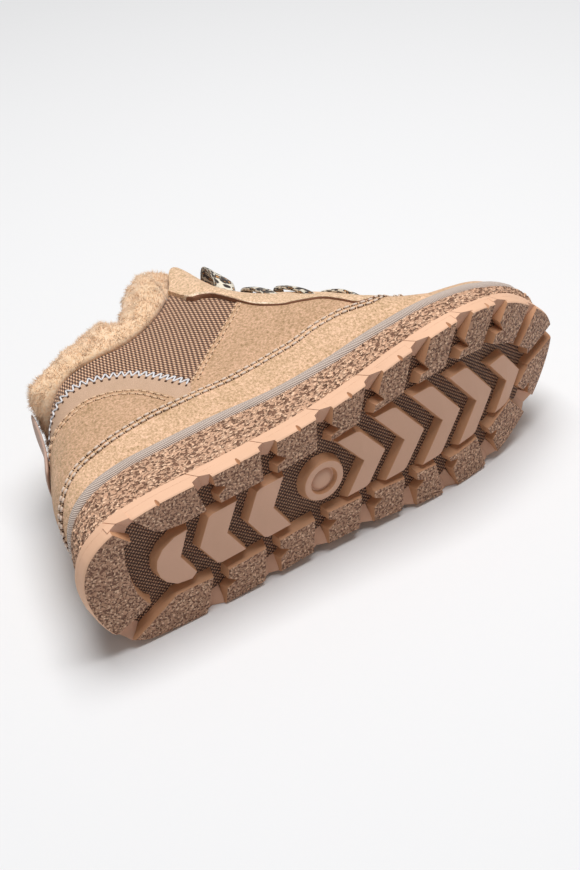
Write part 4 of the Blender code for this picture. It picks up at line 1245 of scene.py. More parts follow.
def mouth_body():
    """Smooth ramps in the grooves' mouths: two planes that fold in the middle and rise to the floor."""
    body = bmesh.new()
    for groove, place, out, along, inwards in groove_mouths():
        across = np.array([inwards[1], -inwards[0]])
        across *= math.copysign(1.0, across @ along)
        deep, mouth, floor = LUG_HEIGHT + 0.6, groove.width * GROOVE_MOUTH + 1.0, groove.width * GROOVE_FLOOR
        for side, outer_low in ((-1, 1.7), (1, 1.2)):
            plan = (
                (place - out * 0.15 + along * side * mouth, outer_low),
                (place - out * 0.15 - along * 0.4, 3.3),
                (place + inwards * 8.5 + across * side * floor, LUG_HEIGHT - 0.05),
                (place + inwards * 7.5 - across * 0.3, LUG_HEIGHT - 0.05),
            )
            corners = [body.verts.new((*spot, height)) for spot, low in plan for height in (low, deep)]
            bmesh.ops.convex_hull(body, input=corners)
    bmesh.ops.recalc_face_normals(body, faces=body.faces)
    body = carved(body, slit_cutter())
    for face in body.faces:
        face.material_index = BAND_SIDE if faces_outwards(face) else TOP
    return body


def chevron_body(looks):
    """The smooth chevrons and the heel's pad: flat tops with wide sloping walls."""
    body = bmesh.new()
    for corners in [HEEL_PAD, *map(chevron_corners, CHEVRONS)]:
        add_prism(body, grown(corners, -CHEVRON_TRIM), CHEVRON_DROP, LUG_HEIGHT + 0.3, 1.0)
    bmesh.ops.recalc_face_normals(body, faces=body.faces)
    rounded(body, sharp_edges(body), looks.edge_round * 0.8)
    return tops_and_walls(body)


def tops_and_walls(body):
    for face in body.faces:
        face.material_index = TOP if face.normal.z < -0.75 else INNER_WALL
    return body


def disc_body():
    """The bare round boss: a sloping outer wall, a flat ring, a sunk ring and a low dome."""
    body = bmesh.new()
    profile = (
        (11.2, 5.3), (10.0, 1.3), (9.6, 0.7), (9.1, 0.5), (7.0, 0.5), (6.6, 0.7), (6.3, 1.7), (5.9, 2.7),
        (5.3, 2.9), (4.7, 2.4), (3.9, 1.8), (3.0, 1.55), (1.6, 1.4), (0.0, 1.35),
    )
    line = [body.verts.new((radius, 0.0, height)) for radius, height in profile]
    edges = [body.edges.new(pair) for pair in zip(line, line[1:])]
    bmesh.ops.spin(body, geom=line + edges, cent=(0, 0, 0), axis=(0, 0, 1), dvec=(0, 0, 0),
                   angle=math.tau, steps=72, use_merge=True)
    bmesh.ops.remove_doubles(body, verts=body.verts, dist=0.01)
    bmesh.ops.translate(body, verts=body.verts, vec=(*DISC, 0.0))
    bmesh.ops.recalc_face_normals(body, faces=body.faces)
    lowest = min(body.faces, key=lambda face: face.calc_center_median().z)
    if lowest.normal.z > 0:
        bmesh.ops.reverse_faces(body, faces=body.faces)
    return tops_and_walls(body)


def make_outsole():
    looks = settings("sole")
    body = lug_body(looks)
    for other in (plate_body(), mouth_body(), chevron_body(looks), disc_body()):
        joined(body, other)
    sliced(body, [*range(2, 22, 3), *range(160, 254, 3)])
    bent_up(body)
    finishes = [
        rubber_finish("smooth_rubber", looks.band, "plain", looks),
        # The lug faces, floor, chevrons and walls take the band's rubber painted darker as shade
        rubber_finish("pebbled_rubber", looks.rubber, "pebble", looks),
        rubber_finish("knurled_rubber", looks.rubber, "knurl", looks),
        rubber_finish("tread_rubber", looks.tread, "plain", looks),
        rubber_finish("tread_wall_rubber", looks.tread_wall, "plain", looks),
    ]
    laid_body("outsole_tread", body, finishes, "outsole", 32.0)


def toe_bulge(at):
    """How far the midsole and the cord stand out round the toe, over what they do at the sides."""
    return TOE_BULGE * np.clip((outline(at)[:, 0] - 222.0) / 22.0, 0, 1)


# Shares of the midsole's height, how far its side lies in there, and the share of the toe's bulge.
MIDSOLE_SIDE = ((0.0, 2.4, 0.0), (0.02, 1.7, 0.0), (0.35, 1.5, 1.0), (0.75, 1.7, 1.0),
                (0.97, 2.1, 1.0), (1.0, 3.0, 1.0))


def make_midsole():
    """The pebbled midsole, from the outsole's band to the cord's seat, its pebbles moulded in its side."""
    looks = settings("sole")
    shares, insets, bulges = columns(MIDSOLE_SIDE)

    def place(u, v):
        at = u * AROUND
        bulge = toe_bulge(at) * np.interp(v, shares, bulges)
        foot = loop_at(at, 1.6, BAND, GAP * 0.4)
        top = loop_at(at, 2.6 - toe_bulge(at), SEAT, 0.3)
        height = foot[:, 2] + (top[:, 2] - foot[:, 2]) * v
        inset = np.interp(v, shares, insets) - bulge
        wide = noise_at(at * 2.1, height * 0.25, 3.0)
        fade = np.clip(np.minimum(v, 1 - v) * 9, 0, 1)
        worn = (pebble_relief(at, height) + 0.25 * wide) * fade
        points = with_height(outline(at, inset - worn, height), height)
        return points, no_map(points)

    body = capped(formed(1300, 34, place, closed=True))
    finish = Finish("pebbled_foam", 0.8)
    shoe = finish.on_shoe()
    tone = finish.mottled(shoe, looks.foam, Patch=24.0, Grain=0.9, Patch_Strength=0.16, Grain_Strength=0.12)
    pebble = finish.use("Pebble", Place=shoe, Stretch=(0.72, 0.72, 1.15), Size=looks.pebble_size * 1.1)
    # Painted shade in the midsole's pits and painted highlights on its crests
    finish.colour(pebble_shade_and_highlight(finish, pebble, tone, looks))
    finish.relief(pebble["Height"], looks.pebble_depth * 1.4)
    laid_body("midsole_wall", body, [finish.material], "midsole", 60.0)


def pebble_relief(at, height):
    """Low moulded relief of the midsole's side, in millimetres: rounded beads with gaps between them."""
    relief = []
    for place, rise in zip(at, height):
        near = Vector((place * 10.0, rise * 0.75, 0.0))
        relief.append(0.6 * noise.noise(near) + 0.25 * noise.noise(near * 1.9))
    return 0.6 * np.clip(np.array(relief) * 2.2, -1, 1)


def make_piping():
    """The twill-covered cord round the join."""
    looks = settings("sole")
    around = np.linspace(0, AROUND, 561)
    run = run_along(outline(around))

    def place(u, v):
        at = u * AROUND
        turn = v * math.tau
        inset = PIPING_INSET - toe_bulge(at) + PIPING_RADIUS * (1 - np.cos(turn))
        points = loop_at(at, inset, SEAT, PIPING_RADIUS + GAP)
        points[:, 2] += PIPING_RADIUS * 1.04 * np.sin(turn)
        return points, np.column_stack([np.interp(at, around, run), v * PIPING_RADIUS * math.tau])

    body = formed(560, 14, place, closed=True)
    bmesh.ops.recalc_face_normals(body, faces=body.faces)
    finish = twill_finish("twill_cord", looks.cord, srgb(132, 104, 90), 0.9)
    laid_body("piping_cord", body, [finish], "piping")


# ---------------------------------------------------------------- the upper

EDGE_ROWS = 5           # rows of a panel's grid that go into each of its rounded edges
EDGE_REACH = 1.1        # width of a panel's rounded edge
STRIP_FACE, QUARTER_FACE, COUNTER_FACE, FACING_FACE, VAMP_FACE = 1.0, 1.45, 1.75, 2.25, 2.35  # above the wall
LIP_AT, LIP_WIDTH = 2.6, 1.9    # the lip's middle above a panel's lower edge, and how wide it is
CUT_EDGE_TOP = 0.8      # how much of the facing's lower edge shows its cut


def panel_rows(count, height, reach):
    """Distances up a panel's columns, close together near both edges; reach is the edge's width."""
    reach = np.minimum(reach, height / 3)
    near = (np.linspace(0, 1, EDGE_ROWS + 1) ** 1.4)[None, :] * reach[:, None]
    middle = np.linspace(0, 1, count - 2 * EDGE_ROWS + 1)[None, 1:-1]
    middle = reach[:, None] + middle * (height - 2 * reach)[:, None]
    return np.concatenate([near, middle, (height[:, None] - near)[:, ::-1]], axis=1)


def spaced(first, last, count, fine=None):
    """Places along a panel, closer together at its two ends and on both sides between two sections."""
    near = (np.linspace(0, 1, EDGE_ROWS) ** 1.4) * 0.12
    places = [np.linspace(first, last, count), first + near, last - near]
    if fine:
        extra = np.linspace(*fine, count // 3)
        places += [extra, AROUND - extra]
    return np.unique(np.round(np.concatenate(places), 4))


def panel(places, low, high, top, up=26, ripple=0.25, lip=0.0, open_ends=False):
    """A sewn panel as a body: rounded at its edges, which sink into what is below.

    low and high give its edges as heights at a section; top is its face's distance from the wall. A lip
    raises the lower edge like a cord.
    """
    across = len(places) - 1
    v_low, v_high = low(places), np.maximum(high(places), low(places) + 0.002)
    span = np.linspace(0, 1, 9)
    ladder = upper_point(places[:, None] % AROUND, v_low[:, None] + (v_high - v_low)[:, None] * span, 0.0)
    height = np.linalg.norm(np.diff(ladder, axis=1), axis=2).sum(axis=1)
    rows = panel_rows(up, height, np.full(len(places), EDGE_REACH))
    run = run_along(ladder[:, 4])
    to_end = np.full(len(places), 9.0) if open_ends else np.minimum(run, run[-1] - run)

    def place(u, v):
        column, row = np.rint(u * across).astype(int), np.rint(v * up).astype(int)
        at, tall, rise = places[column] % AROUND, height[column], rows[column, row]
        spot = v_low[column] + (v_high - v_low)[column] * rise / tall
        edge = np.clip(np.minimum(np.minimum(rise, tall - rise), to_end[column]) / EDGE_REACH, 0, 1)
        fall = 1 - np.sqrt(np.clip(1 - (1 - edge) ** 2, 0, 1))
        raised = lip * np.exp(-(((rise - LIP_AT) / LIP_WIDTH) ** 2))
        wave = noise_at(places[column] * 1.3, spot * 5.0, top)
        offset = top + raised + ripple * wave * edge - fall * (top + 0.3)
        return upper_point(at, spot, offset), np.column_stack([run[column], rise])

    return formed(across, up, place)


def make_wall():
    """The hollow wall: woven mesh outside, shorn fleece inside, folded over along collar and throat."""
    looks, fur = settings("upper"), settings("fur")
    around, up = 360, 44
    run_at = np.linspace(0, AROUND, 281)
    run = run_along(upper_point(run_at % AROUND, 0.62))

    def place(u, v):
        at = (u * AROUND) % AROUND
        outside = v < 0.5
        rise = np.where(outside, v * 2, (1 - v) * 2)
        depth = np.where(outside, 0.15, -WALL)
        edge = np.clip((1 - rise) / 0.02, 0, 1)
        points = upper_point(at, np.clip(rise, 0, 1), depth * edge - (1 - edge) * WALL / 2)
        tall = np.linalg.norm(points - upper_point(at, 0.0), axis=1)
        return points, np.column_stack([np.interp(u * AROUND, run_at, run), tall])

    body = formed(around, up * 2, place, closed=True)
    # The lining's darker colour is painted shade between its curls
    inner = fleece_finish("shorn_lining", fur.lining, srgb(160, 122, 88), 1.6)
    middle = upper_point(np.arange(AROUND), 0.4).mean(axis=0)
    bmesh.ops.recalc_face_normals(body, faces=body.faces)
    for face in body.faces:
        inward = Vector(middle) - face.calc_center_median()
        inward.z = 0.0
        if face.normal.dot(inward.normalized()) > 0.0:
            face.material_index = 1
    laid_body("upper_wall", body, [mesh_finish(looks), inner], "upper", 60.0)


def foot_line(at):
    """The height at each section where a panel clears the cord below it."""
    at = np.asarray(at, float) % AROUND
    fine = np.linspace(0, 0.4, 41)
    rise = upper_point(at[:, None], fine[None, :])[..., 2]
    rise -= rise[:, :1]
    return np.array([np.interp(2 * PIPING_RADIUS - 1.2, row, fine) for row in rise])


def quarter_low(at):
    return edge_height(SEAM, at) - 0.04


def quarter_high(at):
    rear = edge_height(QUARTER_REAR, at, 0.08)
    return np.where(from_heel(at) < QUARTER_REAR[-1][0], rear, np.minimum(facing_foot(at) + 0.02, 0.66))


def make_panels():
    """The suede, leather and facing pieces, each laid over the one below it."""
    looks = settings("upper")
    suede = suede_finish("suede", looks.suede, looks)
    leather = leather_finish("smooth_leather", looks.leather)
    cut = leather_finish("cut_edge", looks.cut_edge, 0.8)
    # The facing's lip takes a paler suede: a painted highlight along the raised fold
    lip = suede_finish("facing_lip", looks.lip, looks)
    strip_low = lambda at: np.maximum(edge_height(COUNTER_TOP, at) - 0.04, edge_height(SEAM, at) - 0.02)
    strip_top = lambda at: edge_height(STRIP_TOP, at)
    strip_end, counter_end = STRIP_TOP[-1][0], COUNTER_TOP[-1][0]
    strip = panel(spaced(-strip_end, strip_end, 180), strip_low, strip_top, STRIP_FACE,
                  up=20, ripple=0.05)
    laid_body("leather_strip", strip, [leather], "collar_strip")
    counter_top = lambda at: edge_height(COUNTER_TOP, at)
    counter = panel(spaced(-counter_end, counter_end, 170), quarter_low, counter_top, COUNTER_FACE)
    laid_body("suede_counter", counter, [suede], "heel_counter")
    rear = QUARTER_REAR[0][0]
    for name, node, first, last in (
        ("suede_quarter_lateral", "quarter_lateral", rear, QUARTER_FRONT),
        ("suede_quarter_medial", "quarter_medial", AROUND - QUARTER_FRONT, AROUND - rear),
    ):
        body = panel(spaced(first, last, 90), quarter_low, quarter_high, QUARTER_FACE, up=30)
        laid_body(name, body, [suede], node)
    rear = FACING_EDGE[0][0]
    facing = panel(spaced(rear, AROUND - rear, 260, (7.1, 7.65)), facing_foot, np.ones_like, FACING_FACE,
                   up=34, ripple=0.15, lip=0.75)
    layer = facing.loops.layers.uv["cloth"]
    for face in facing.faces:
        rise = sum(corner[layer].uv.y for corner in face.loops) / len(face.loops)
        # Slot 2 is the lip's painted highlight
        face.material_index = 1 if rise < CUT_EDGE_TOP else 2 if rise < LIP_AT else 0
    pale = suede_finish("facing_suede", looks.facing, looks)
    laid_body("suede_facing", facing, [pale, cut, lip], "lace_facing")
    vamp = panel(np.linspace(0, AROUND, 481), foot_line, lambda at: edge_height(SEAM, at), VAMP_FACE,
                 up=34, ripple=0.4, open_ends=True)
    bmesh.ops.remove_doubles(vamp, verts=vamp.verts, dist=0.001)
    laid_body("suede_vamp", vamp, [suede_finish("vamp_suede", looks.vamp, looks)], "vamp")


TAB_FOOT, TAB_RISE = 77.0, 26.0     # where the pull tab starts up the heel, and its height
TAB_MOVES = ((2.5, 1.5), (-5.0, 0.0), (4.0, 2.0))   # along, across and up: all of it, and its top beyond that
CORNER_DROP = 9.0       # how far the tongue's upper corners hang below its middle
CORNER_FROM, CORNER_WIDE = 15.0, 9.0        # where they start across the tongue, and within how much
CORNER_BELOW, CORNER_TALL = 14.0, 12.0      # where they start below its top, and within how much


def make_heel_tab():
    looks = settings("upper")
    body = softened("heel_tab", 2)
    for vertex in body.verts:
        up = min(1.0, max(0.0, (vertex.co.z - TAB_FOOT) / TAB_RISE))
        vertex.co += Vector([whole + top * up for whole, top in TAB_MOVES])
    laid_body("pull_tab", body, [leather_finish("tab_leather", looks.tab, 0.65)], "heel_tab")


def make_tongue():
    """The padded tongue, drawn in as the upper round it is."""
    looks = settings("upper")
    suede = suede_finish("tongue_suede", looks.suede, looks)
    spans = np.linspace(7.5, AROUND - 7.5, 261), np.linspace(0.6, 1, 17)
    at, v = (grid.ravel() for grid in np.meshgrid(*spans))
    wall = up_section(spline(CAGE, at), v)
    shift = upper_point(at, v) - wall
    tree = tree_of(wall)
    body = softened("tongue", 2)
    row, before = TONGUE_ROWS[-1, 2], TONGUE_ROWS[-2, 2]
    along = Vector(row - before).normalized()
    for vertex in body.verts:
        corner = min(1.0, max(0.0, (abs(vertex.co.y) - CORNER_FROM) / CORNER_WIDE))
        above = (vertex.co - Vector(row)).dot(along) + CORNER_BELOW
        high = min(1.0, max(0.0, above / CORNER_TALL))
        vertex.co -= along * (CORNER_DROP * corner * high)
        found = tree.find_n(vertex.co, 24)
        share = np.array([1 / (distance**2 + 9.0) for _, _, distance in found])
        vertex.co += Vector(share @ shift[[number for _, number, _ in found]] / share.sum())
    piece = laid_body("padded_tongue", body, [suede], "tongue")


def make_insole():
    fur = settings("fur")
    body = softened("insole", 1)
    # The insole's darker colour is painted shade between its curls
    finish = fleece_finish("shorn_insole", fur.lining, srgb(168, 128, 92), 1.8)
    piece = laid_body("fleece_insole", body, [finish], "insole")


# ---------------------------------------------------------------- thread

STITCH_SHARE = 0.68     # how much of its pitch a stitch takes; the rest is the gap
HEAVY_THREAD, FINE_THREAD = 0.62, 0.46      # radii


def on_line(points, pitch):
    """Places at an even pitch along a line, and the line's direction there."""
    run = run_along(points)
    count = max(2, int(run[-1] / pitch))
    at = (np.arange(count) + 0.5) * run[-1] / count
    place, ahead, behind = (
        np.column_stack([np.interp(at + shift, run, points[:, axis]) for axis in range(3)])
        for shift in (0.0, 0.3, -0.3)
    )
    along = ahead - behind
    return place, along / np.linalg.norm(along, axis=1, keepdims=True)


def surface_line(places, heights, shift, lift):
    """A line on the upper beside another: shift millimetres over to its left, lift above the wall."""
    at = np.asarray(places, float) % AROUND
    points = upper_point(at, heights, lift)
    normals = upper_normal(at, np.asarray(heights, float))
    along = np.gradient(points, axis=0)
    aside = np.cross(normals, along)
    aside /= np.linalg.norm(aside, axis=1, keepdims=True)
    return points + aside * shift, normals


def nearest(points, line):
    """Which of a line's points lies nearest to each place."""
    return np.argmin(np.linalg.norm(points[:, None] - line[None], axis=2), axis=1)


def stitch_row(places, heights, shift, lift, pitch):
    """Ends and outward directions of the stitches in one row."""
    line, normals = surface_line(places, heights, shift, lift)
    place, along = on_line(line, pitch)
    half = along * pitch * STITCH_SHARE / 2
    return place - half, place + half, normals[nearest(place, line)]


def thread_copies(rows, radius, name, node, finishes):
    """Stitches as small capsules, with a dark flattened shape at each end: painted shade in the needle hole.
    """
    starts, ends, normals = (np.concatenate(column) for column in zip(*rows))
    shape = bmesh.new()
    bmesh.ops.create_uvsphere(shape, u_segments=5, v_segments=4, radius=1.0)
    shape.transform(Matrix.Rotation(math.radians(90), 4, "Y"))
    for vertex in shape.verts:
        full_end = 1.3 if 0.5 < abs(vertex.co.x) < 0.9 else 1.0
        vertex.co = (vertex.co.x, vertex.co.y * full_end, vertex.co.z * full_end)
    for end in (-1, 1):
        # A dark flattened shape at each end: painted shade in the needle hole
        hole = bmesh.ops.create_uvsphere(shape, u_segments=5, v_segments=2, radius=1.0)["verts"]
        for vertex in hole:
            vertex.co = (end * 1.12 + vertex.co.x * 0.22, vertex.co.y * 1.25, vertex.co.z * 0.9 - 0.35)
            for face in vertex.link_faces:
                face.material_index = 1
    bmesh.ops.triangulate(shape, faces=shape.faces)
    corners = np.array([vertex.co for vertex in shape.verts])
    middle, half = (starts + ends) / 2, (ends - starts) / 2
    aside = np.cross(normals, half)
    aside /= np.linalg.norm(aside, axis=1, keepdims=True)
    points = (
        middle[:, None]
        + half[:, None] * corners[None, :, :1]
        + aside[:, None] * corners[None, :, 1:2] * radius
        + normals[:, None] * corners[None, :, 2:] * radius
    )
    return copies(shape, points, node, name, finishes)


def make_stitches():
    """Double rows along the sewn edges, and the zigzag that holds the leather strip."""
    looks = settings("upper")
    # Painted shade in the needle holes
    hole = Finish("needle_hole", 0.95)
    hole.colour(hole.mottled(hole.on_shoe(), srgb(96, 66, 48), Patch=8.0, Grain=0.6))
    finishes = [thread_finish("seam_thread", looks.thread), hole.material]
    pitch = looks.stitch_pitch
    around = np.linspace(0, AROUND, 900)
    seam = edge_height(SEAM, around)
    rows = [stitch_row(around, seam, -shift, 2.6, pitch) for shift in (2.2, 4.6)]
    thread_copies(rows, HEAVY_THREAD, "vamp_stitches", "vamp", finishes)
    toned = [thread_finish("toned_thread", looks.facing), hole.material]
    heel = np.linspace(-4.68, 4.68, 500)
    top = edge_height(COUNTER_TOP, heel)
    rows = [stitch_row(heel, top, -shift, 1.85, pitch) for shift in (1.6, 3.9)]
    thread_copies(rows, FINE_THREAD, "counter_stitches", "heel_counter", toned)
    for name, node, side in (("quarter_stitches_lateral", "quarter_lateral", 1),
                             ("quarter_stitches_medial", "quarter_medial", -1)):
        near = np.linspace(5.2, 7.4, 160)
        line = edge_height(QUARTER_REAR, near, 0.08)
        rows = [stitch_row(side * near, line, -side * shift, 1.55, pitch) for shift in (1.2, 3.4)]
        thread_copies(rows, FINE_THREAD, name, node, toned)
    strip = np.linspace(-5.2, 5.2, 700)
    line, normals = surface_line(strip, edge_height(STRIP_TOP, strip), 0.0, 1.0)
    place, along = on_line(line, 1.75)
    normal = normals[nearest(place, line)]
    aside = np.cross(normal, along)
    wave = np.where(np.arange(len(place)) % 2 == 0, 2.6, -2.4)[:, None]
    corners = place + aside * wave + normal * np.where(wave > 0, -0.35, 0.35)
    zigzag = [(corners[:-1], corners[1:], normal[:-1])]
    thread_copies(zigzag, FINE_THREAD, "zigzag_stitches", "collar_strip",
                  [thread_finish("zigzag_thread", looks.zigzag), hole.material])


# ---------------------------------------------------------------- laces

# Each lace's section, half its width in sections, how far it stands off the rim, and its arch.
LACE_PLACES = ((8.58, 0.19, 10.5, 6.0), (9.38, 0.14, 4.2, -5.5), (10.12, 0.14, 4.2, -5.5),
               (11.3, 0.13, 5.0, -5.5))
LACE_THICK = 0.9        # half a lace's thickness


def make_laces():
    """Flat laces that cross the throat in low arches and dive into the facings at their ends."""
    finish = leopard_finish(settings("upper"))
    for number, (at, half, stand, arch) in enumerate(LACE_PLACES, start=1):
        edges = []
        for hold in (at + half, at - half):
            way = ((0.86, 1.6), (0.92, 1.6 + 0.55 * stand), (1.0, stand))
            dive, side, lip = (upper_point(hold, v, lift) for v, lift in way)
            far_lip, far, far_dive = (upper_point(AROUND - hold, v, lift) for v, lift in way[::-1])
            crown = (lip + far_lip) / 2 + np.array([0.0, 0.0, arch])
            shoulder = np.array([0.0, 0.0, arch * 0.3])
            near, beyond = (end * 0.6 + crown * 0.4 + shoulder for end in (lip, far_lip))
            edges.append([dive, side, lip, near, crown, beyond, far_lip, far, far_dive])
        front, back = np.array(edges)
        steps = len(front) - 1

        def place(u, v):
            first, second = (spline(edge, u * steps, closed=False) for edge in (front, back))
            middle, across = (first + second) / 2, (second - first) / 2
            wide = np.linalg.norm(across, axis=1, keepdims=True)
            ahead = spline(front, np.clip(u + 0.01, 0, 1) * steps, closed=False)
            along = ahead - spline(front, np.clip(u - 0.01, 0, 1) * steps, closed=False)
            up = np.cross(along, across)
            up /= np.linalg.norm(up, axis=1, keepdims=True)
            turn = v * math.tau
            flat = np.sign(np.cos(turn)) * abs(np.cos(turn)) ** 0.45
            thick = np.sign(np.sin(turn)) * abs(np.sin(turn)) ** 0.7
            points = middle + across * flat[:, None] + up * (LACE_THICK * thick)[:, None]
            return points, np.column_stack([u * 60.0, v * wide[:, 0] * 4.4])

        body = capped(formed(48, 24, place, closed=True))
        laid_body(f"lace_{number}", body, [finish], f"lace_bar_{number}", 70.0)


# ---------------------------------------------------------------- fleece

COLLAR_REACH = 8.0
# The section where the collar's ends start to tuck in behind the facing, within how many, and how deep.
COLLAR_TUCK = (6.75, 0.2, 5.0)
COLLAR_PROFILE = (
    (-0.6, 0.2), (-2.2, 3.6), (-2.4, 8.2), (-0.6, 12.8), (2.6, 15.2), (5.8, 14.0),
    (7.8, 10.0), (8.2, 3.6), (7.6, -5.0), (6.6, -13.0), (4.7, -14.0), (4.4, -5.0), (3.8, 0.2),
)
TONGUE_PROFILE = (
    (6.4, -33.0), (6.4, -11.0), (6.4, 1.0), (0.8, 3.0), (-2.8, 6.6), (-0.4, 11.2), (7.0, 12.6),
    (12.6, 5.6), (12.2, -5.0), (11.2, -20.0), (9.2, -33.0),
)
# How full the collar's fleece is round the shoe, from its heel to its ends.
COLLAR_SWELL = ((0.0, 0.60), (0.8, 0.70), (1.2, 1.0), (1.6, 1.08), (2.0, 1.0), (2.5, 0.95), (3.0, 1.08),
                (3.5, 1.04), (4.0, 1.15), (4.5, 1.4), (4.85, 1.55), (5.1, 1.3), (5.3, 1.0), (5.5, 1.3),
                (5.9, 1.8), (6.3, 1.85), (6.7, 1.85), (7.0, 1.9), (7.2, 1.75),
                (7.4, 1.35), (7.6, 1.0), (7.8, 0.75), (8.0, 0.5))


def collar_point(u, v):
    """A point of the fleece that rolls over the collar's edge: u along the collar, v round the roll."""
    sections = (u * 2 - 1) * COLLAR_REACH
    at = sections % AROUND
    rim = upper_point(at, 1.0)
    step = upper_point((sections + 0.05) % AROUND, 1.0) - upper_point((sections - 0.05) % AROUND, 1.0)
    step[:, 2] = 0.0
    step /= np.linalg.norm(step, axis=1, keepdims=True)
    inwards = np.column_stack([-step[:, 1], step[:, 0], np.zeros(len(step))])
    profile = spline(COLLAR_PROFILE, v * len(COLLAR_PROFILE))
    swell = np.interp(abs(sections), *columns(COLLAR_SWELL))
    ends = np.clip((COLLAR_REACH - abs(sections)) / 0.3, 0.35, 1.0)
    lump = noise_at(sections * 1.9, v * 5.0, 1.5) + 0.5 * noise_at(sections * 4.6, v * 11.0, 4.5)
    high = np.clip(profile[:, 1] / 4.0, 0, 1)
    puff = 1 + (swell * ends - 1) * high + 0.22 * lump * high
    hang = 1 + 1.6 * np.clip(1.2 - abs(sections - 1.5), 0, 1)
    out = np.where(profile[:, 0] < 0, puff * hang, 1.0)
    first, within, depth = COLLAR_TUCK
    tuck = depth * np.clip((abs(sections) - first) / within, 0, 1)
    points = rim + inwards * (profile[:, 0] * out + tuck)[:, None]
    points[:, 2] += profile[:, 1] * puff
    return points


def tongue_rows():
    """The tongue's cross rows, foot first, as the solids have them."""
    clear = -(WALL + 1.5)
    rows = []
    for at in (12.4, 11.5, 10.6, 9.7, 8.9, 8.2):
        lateral = [upper_point(at, v, clear) for v in (0.88, 1.0)]
        medial = [upper_point(AROUND - at, v, clear) for v in (1.0, 0.88)]
        crown = (lateral[1] + medial[0]) / 2 + np.array([0.0, 0.0, 1.5])
        rows.append([*lateral, crown, *medial])
    rows = np.array(rows)
    rise = rows[-1, 2] - rows[-2, 2]
    rows = np.concatenate([rows, (rows[-1] + rise / np.linalg.norm(rise) * 10.0)[None]])
    rows[..., 1] *= np.array([1.0, 1.0, 1.0, 0.96, 0.88, 0.80, 0.78])[:, None]
    return rows


TONGUE_ROWS = tongue_rows()
# Distances from the tongue's middle, and how low and high its fleece reaches there.
TONGUE_EARS = ((0.0, -33.0, 6.5), (15.0, -33.0, 6.5), (18.5, -3.0, 6.5), (21.0, -9.0, 0.0),
               (22.5, -14.0, -10.0))


def tongue_point(u, v):
    """A point of the tongue's fleece: u across the tongue, v round its section."""
    row = TONGUE_ROWS[-1]
    along = TONGUE_ROWS[-1, 2] - TONGUE_ROWS[-2, 2]
    along /= np.linalg.norm(along)
    back = np.array([-along[2], 0.0, along[0]]) * math.copysign(1.0, along[2])
    places, lowest, highest = columns(TONGUE_EARS)
    y = (u * 2 - 1) * places[-1]
    spine = np.column_stack([np.interp(y, row[1:4, 1], row[1:4, axis]) for axis in range(3)])
    spine[:, 1] = y
    profile = spline(TONGUE_PROFILE, v * len(TONGUE_PROFILE))
    share = (profile[:, 1] + 33.0) / 45.6
    low, high = np.interp(abs(y), places, lowest), np.interp(abs(y), places, highest)
    lump = noise_at(y * 0.16, v * 6.0, 7.5)
    rise = low + share * (high - low) + 1.2 * lump * np.clip(share * 3 - 1.5, 0, 1)
    return spine + back * profile[:, :1] + along * rise[:, None]


HAIRS_IN_LOCK = 20
ROOT_DEPTH = 1.2        # how deep the hairs start
CURL, GATHER, SAG = 0.5, 0.12, 0.22     # how far the hairs curl, draw together and hang over


def hair_shape():
    """One pointed hair: a three-sided cone in two steps, from 0 at its root to 1 at its tip."""
    shape = bmesh.new()
    bmesh.ops.create_cone(shape, cap_ends=True, segments=3, radius1=1.0, radius2=0.0, depth=1.0)
    bmesh.ops.translate(shape, verts=shape.verts, vec=(0, 0, 0.5))
    bmesh.ops.bisect_plane(shape, geom=[*shape.verts, *shape.edges, *shape.faces], dist=0.001,
                           plane_co=(0, 0, 0.5), plane_no=(0, 0, 1))
    bmesh.ops.triangulate(shape, faces=shape.faces)
    return shape


def hair_roots(place, count, span_u, span_v, rng):
    """Places spread evenly over part of a fleece, with the direction straight out of each."""
    tries = 3 * count
    u = rng.uniform(*span_u, tries)
    v = rng.uniform(*span_v, tries) % 1.0
    step = 0.004
    over_u = place(np.clip(u + step, 0, 1), v) - place(np.clip(u - step, 0, 1), v)
    over_v = place(u, (v + step) % 1.0) - place(u, (v - step) % 1.0)
    normal = np.cross(over_u, over_v)
    area = np.linalg.norm(normal, axis=1)
    chosen = rng.choice(tries, count, replace=False, p=area / area.sum())
    return place(u[chosen], v[chosen]), normal[chosen] / area[chosen, None]


def area_of(place, span_u, span_v):
    grid_u, grid_v = np.meshgrid(np.linspace(*span_u, 60), np.linspace(*span_v, 30), indexing="ij")
    points = place(grid_u.ravel(), grid_v.ravel() % 1.0).reshape(60, 30, 3)
    sides = np.cross(points[1:, :-1] - points[:-1, :-1], points[:-1, 1:] - points[:-1, :-1])
    return np.linalg.norm(sides, axis=2).sum()


def above_floor(points):
    """Lifts what would lie below the floor up to it."""
    up = np.array(LAY)[2]
    short = np.clip(0.3 * MM - (points @ up[:3] + up[3]), 0, None) / MM
    return points + short[..., None] * up[:3] / np.linalg.norm(up[:3])


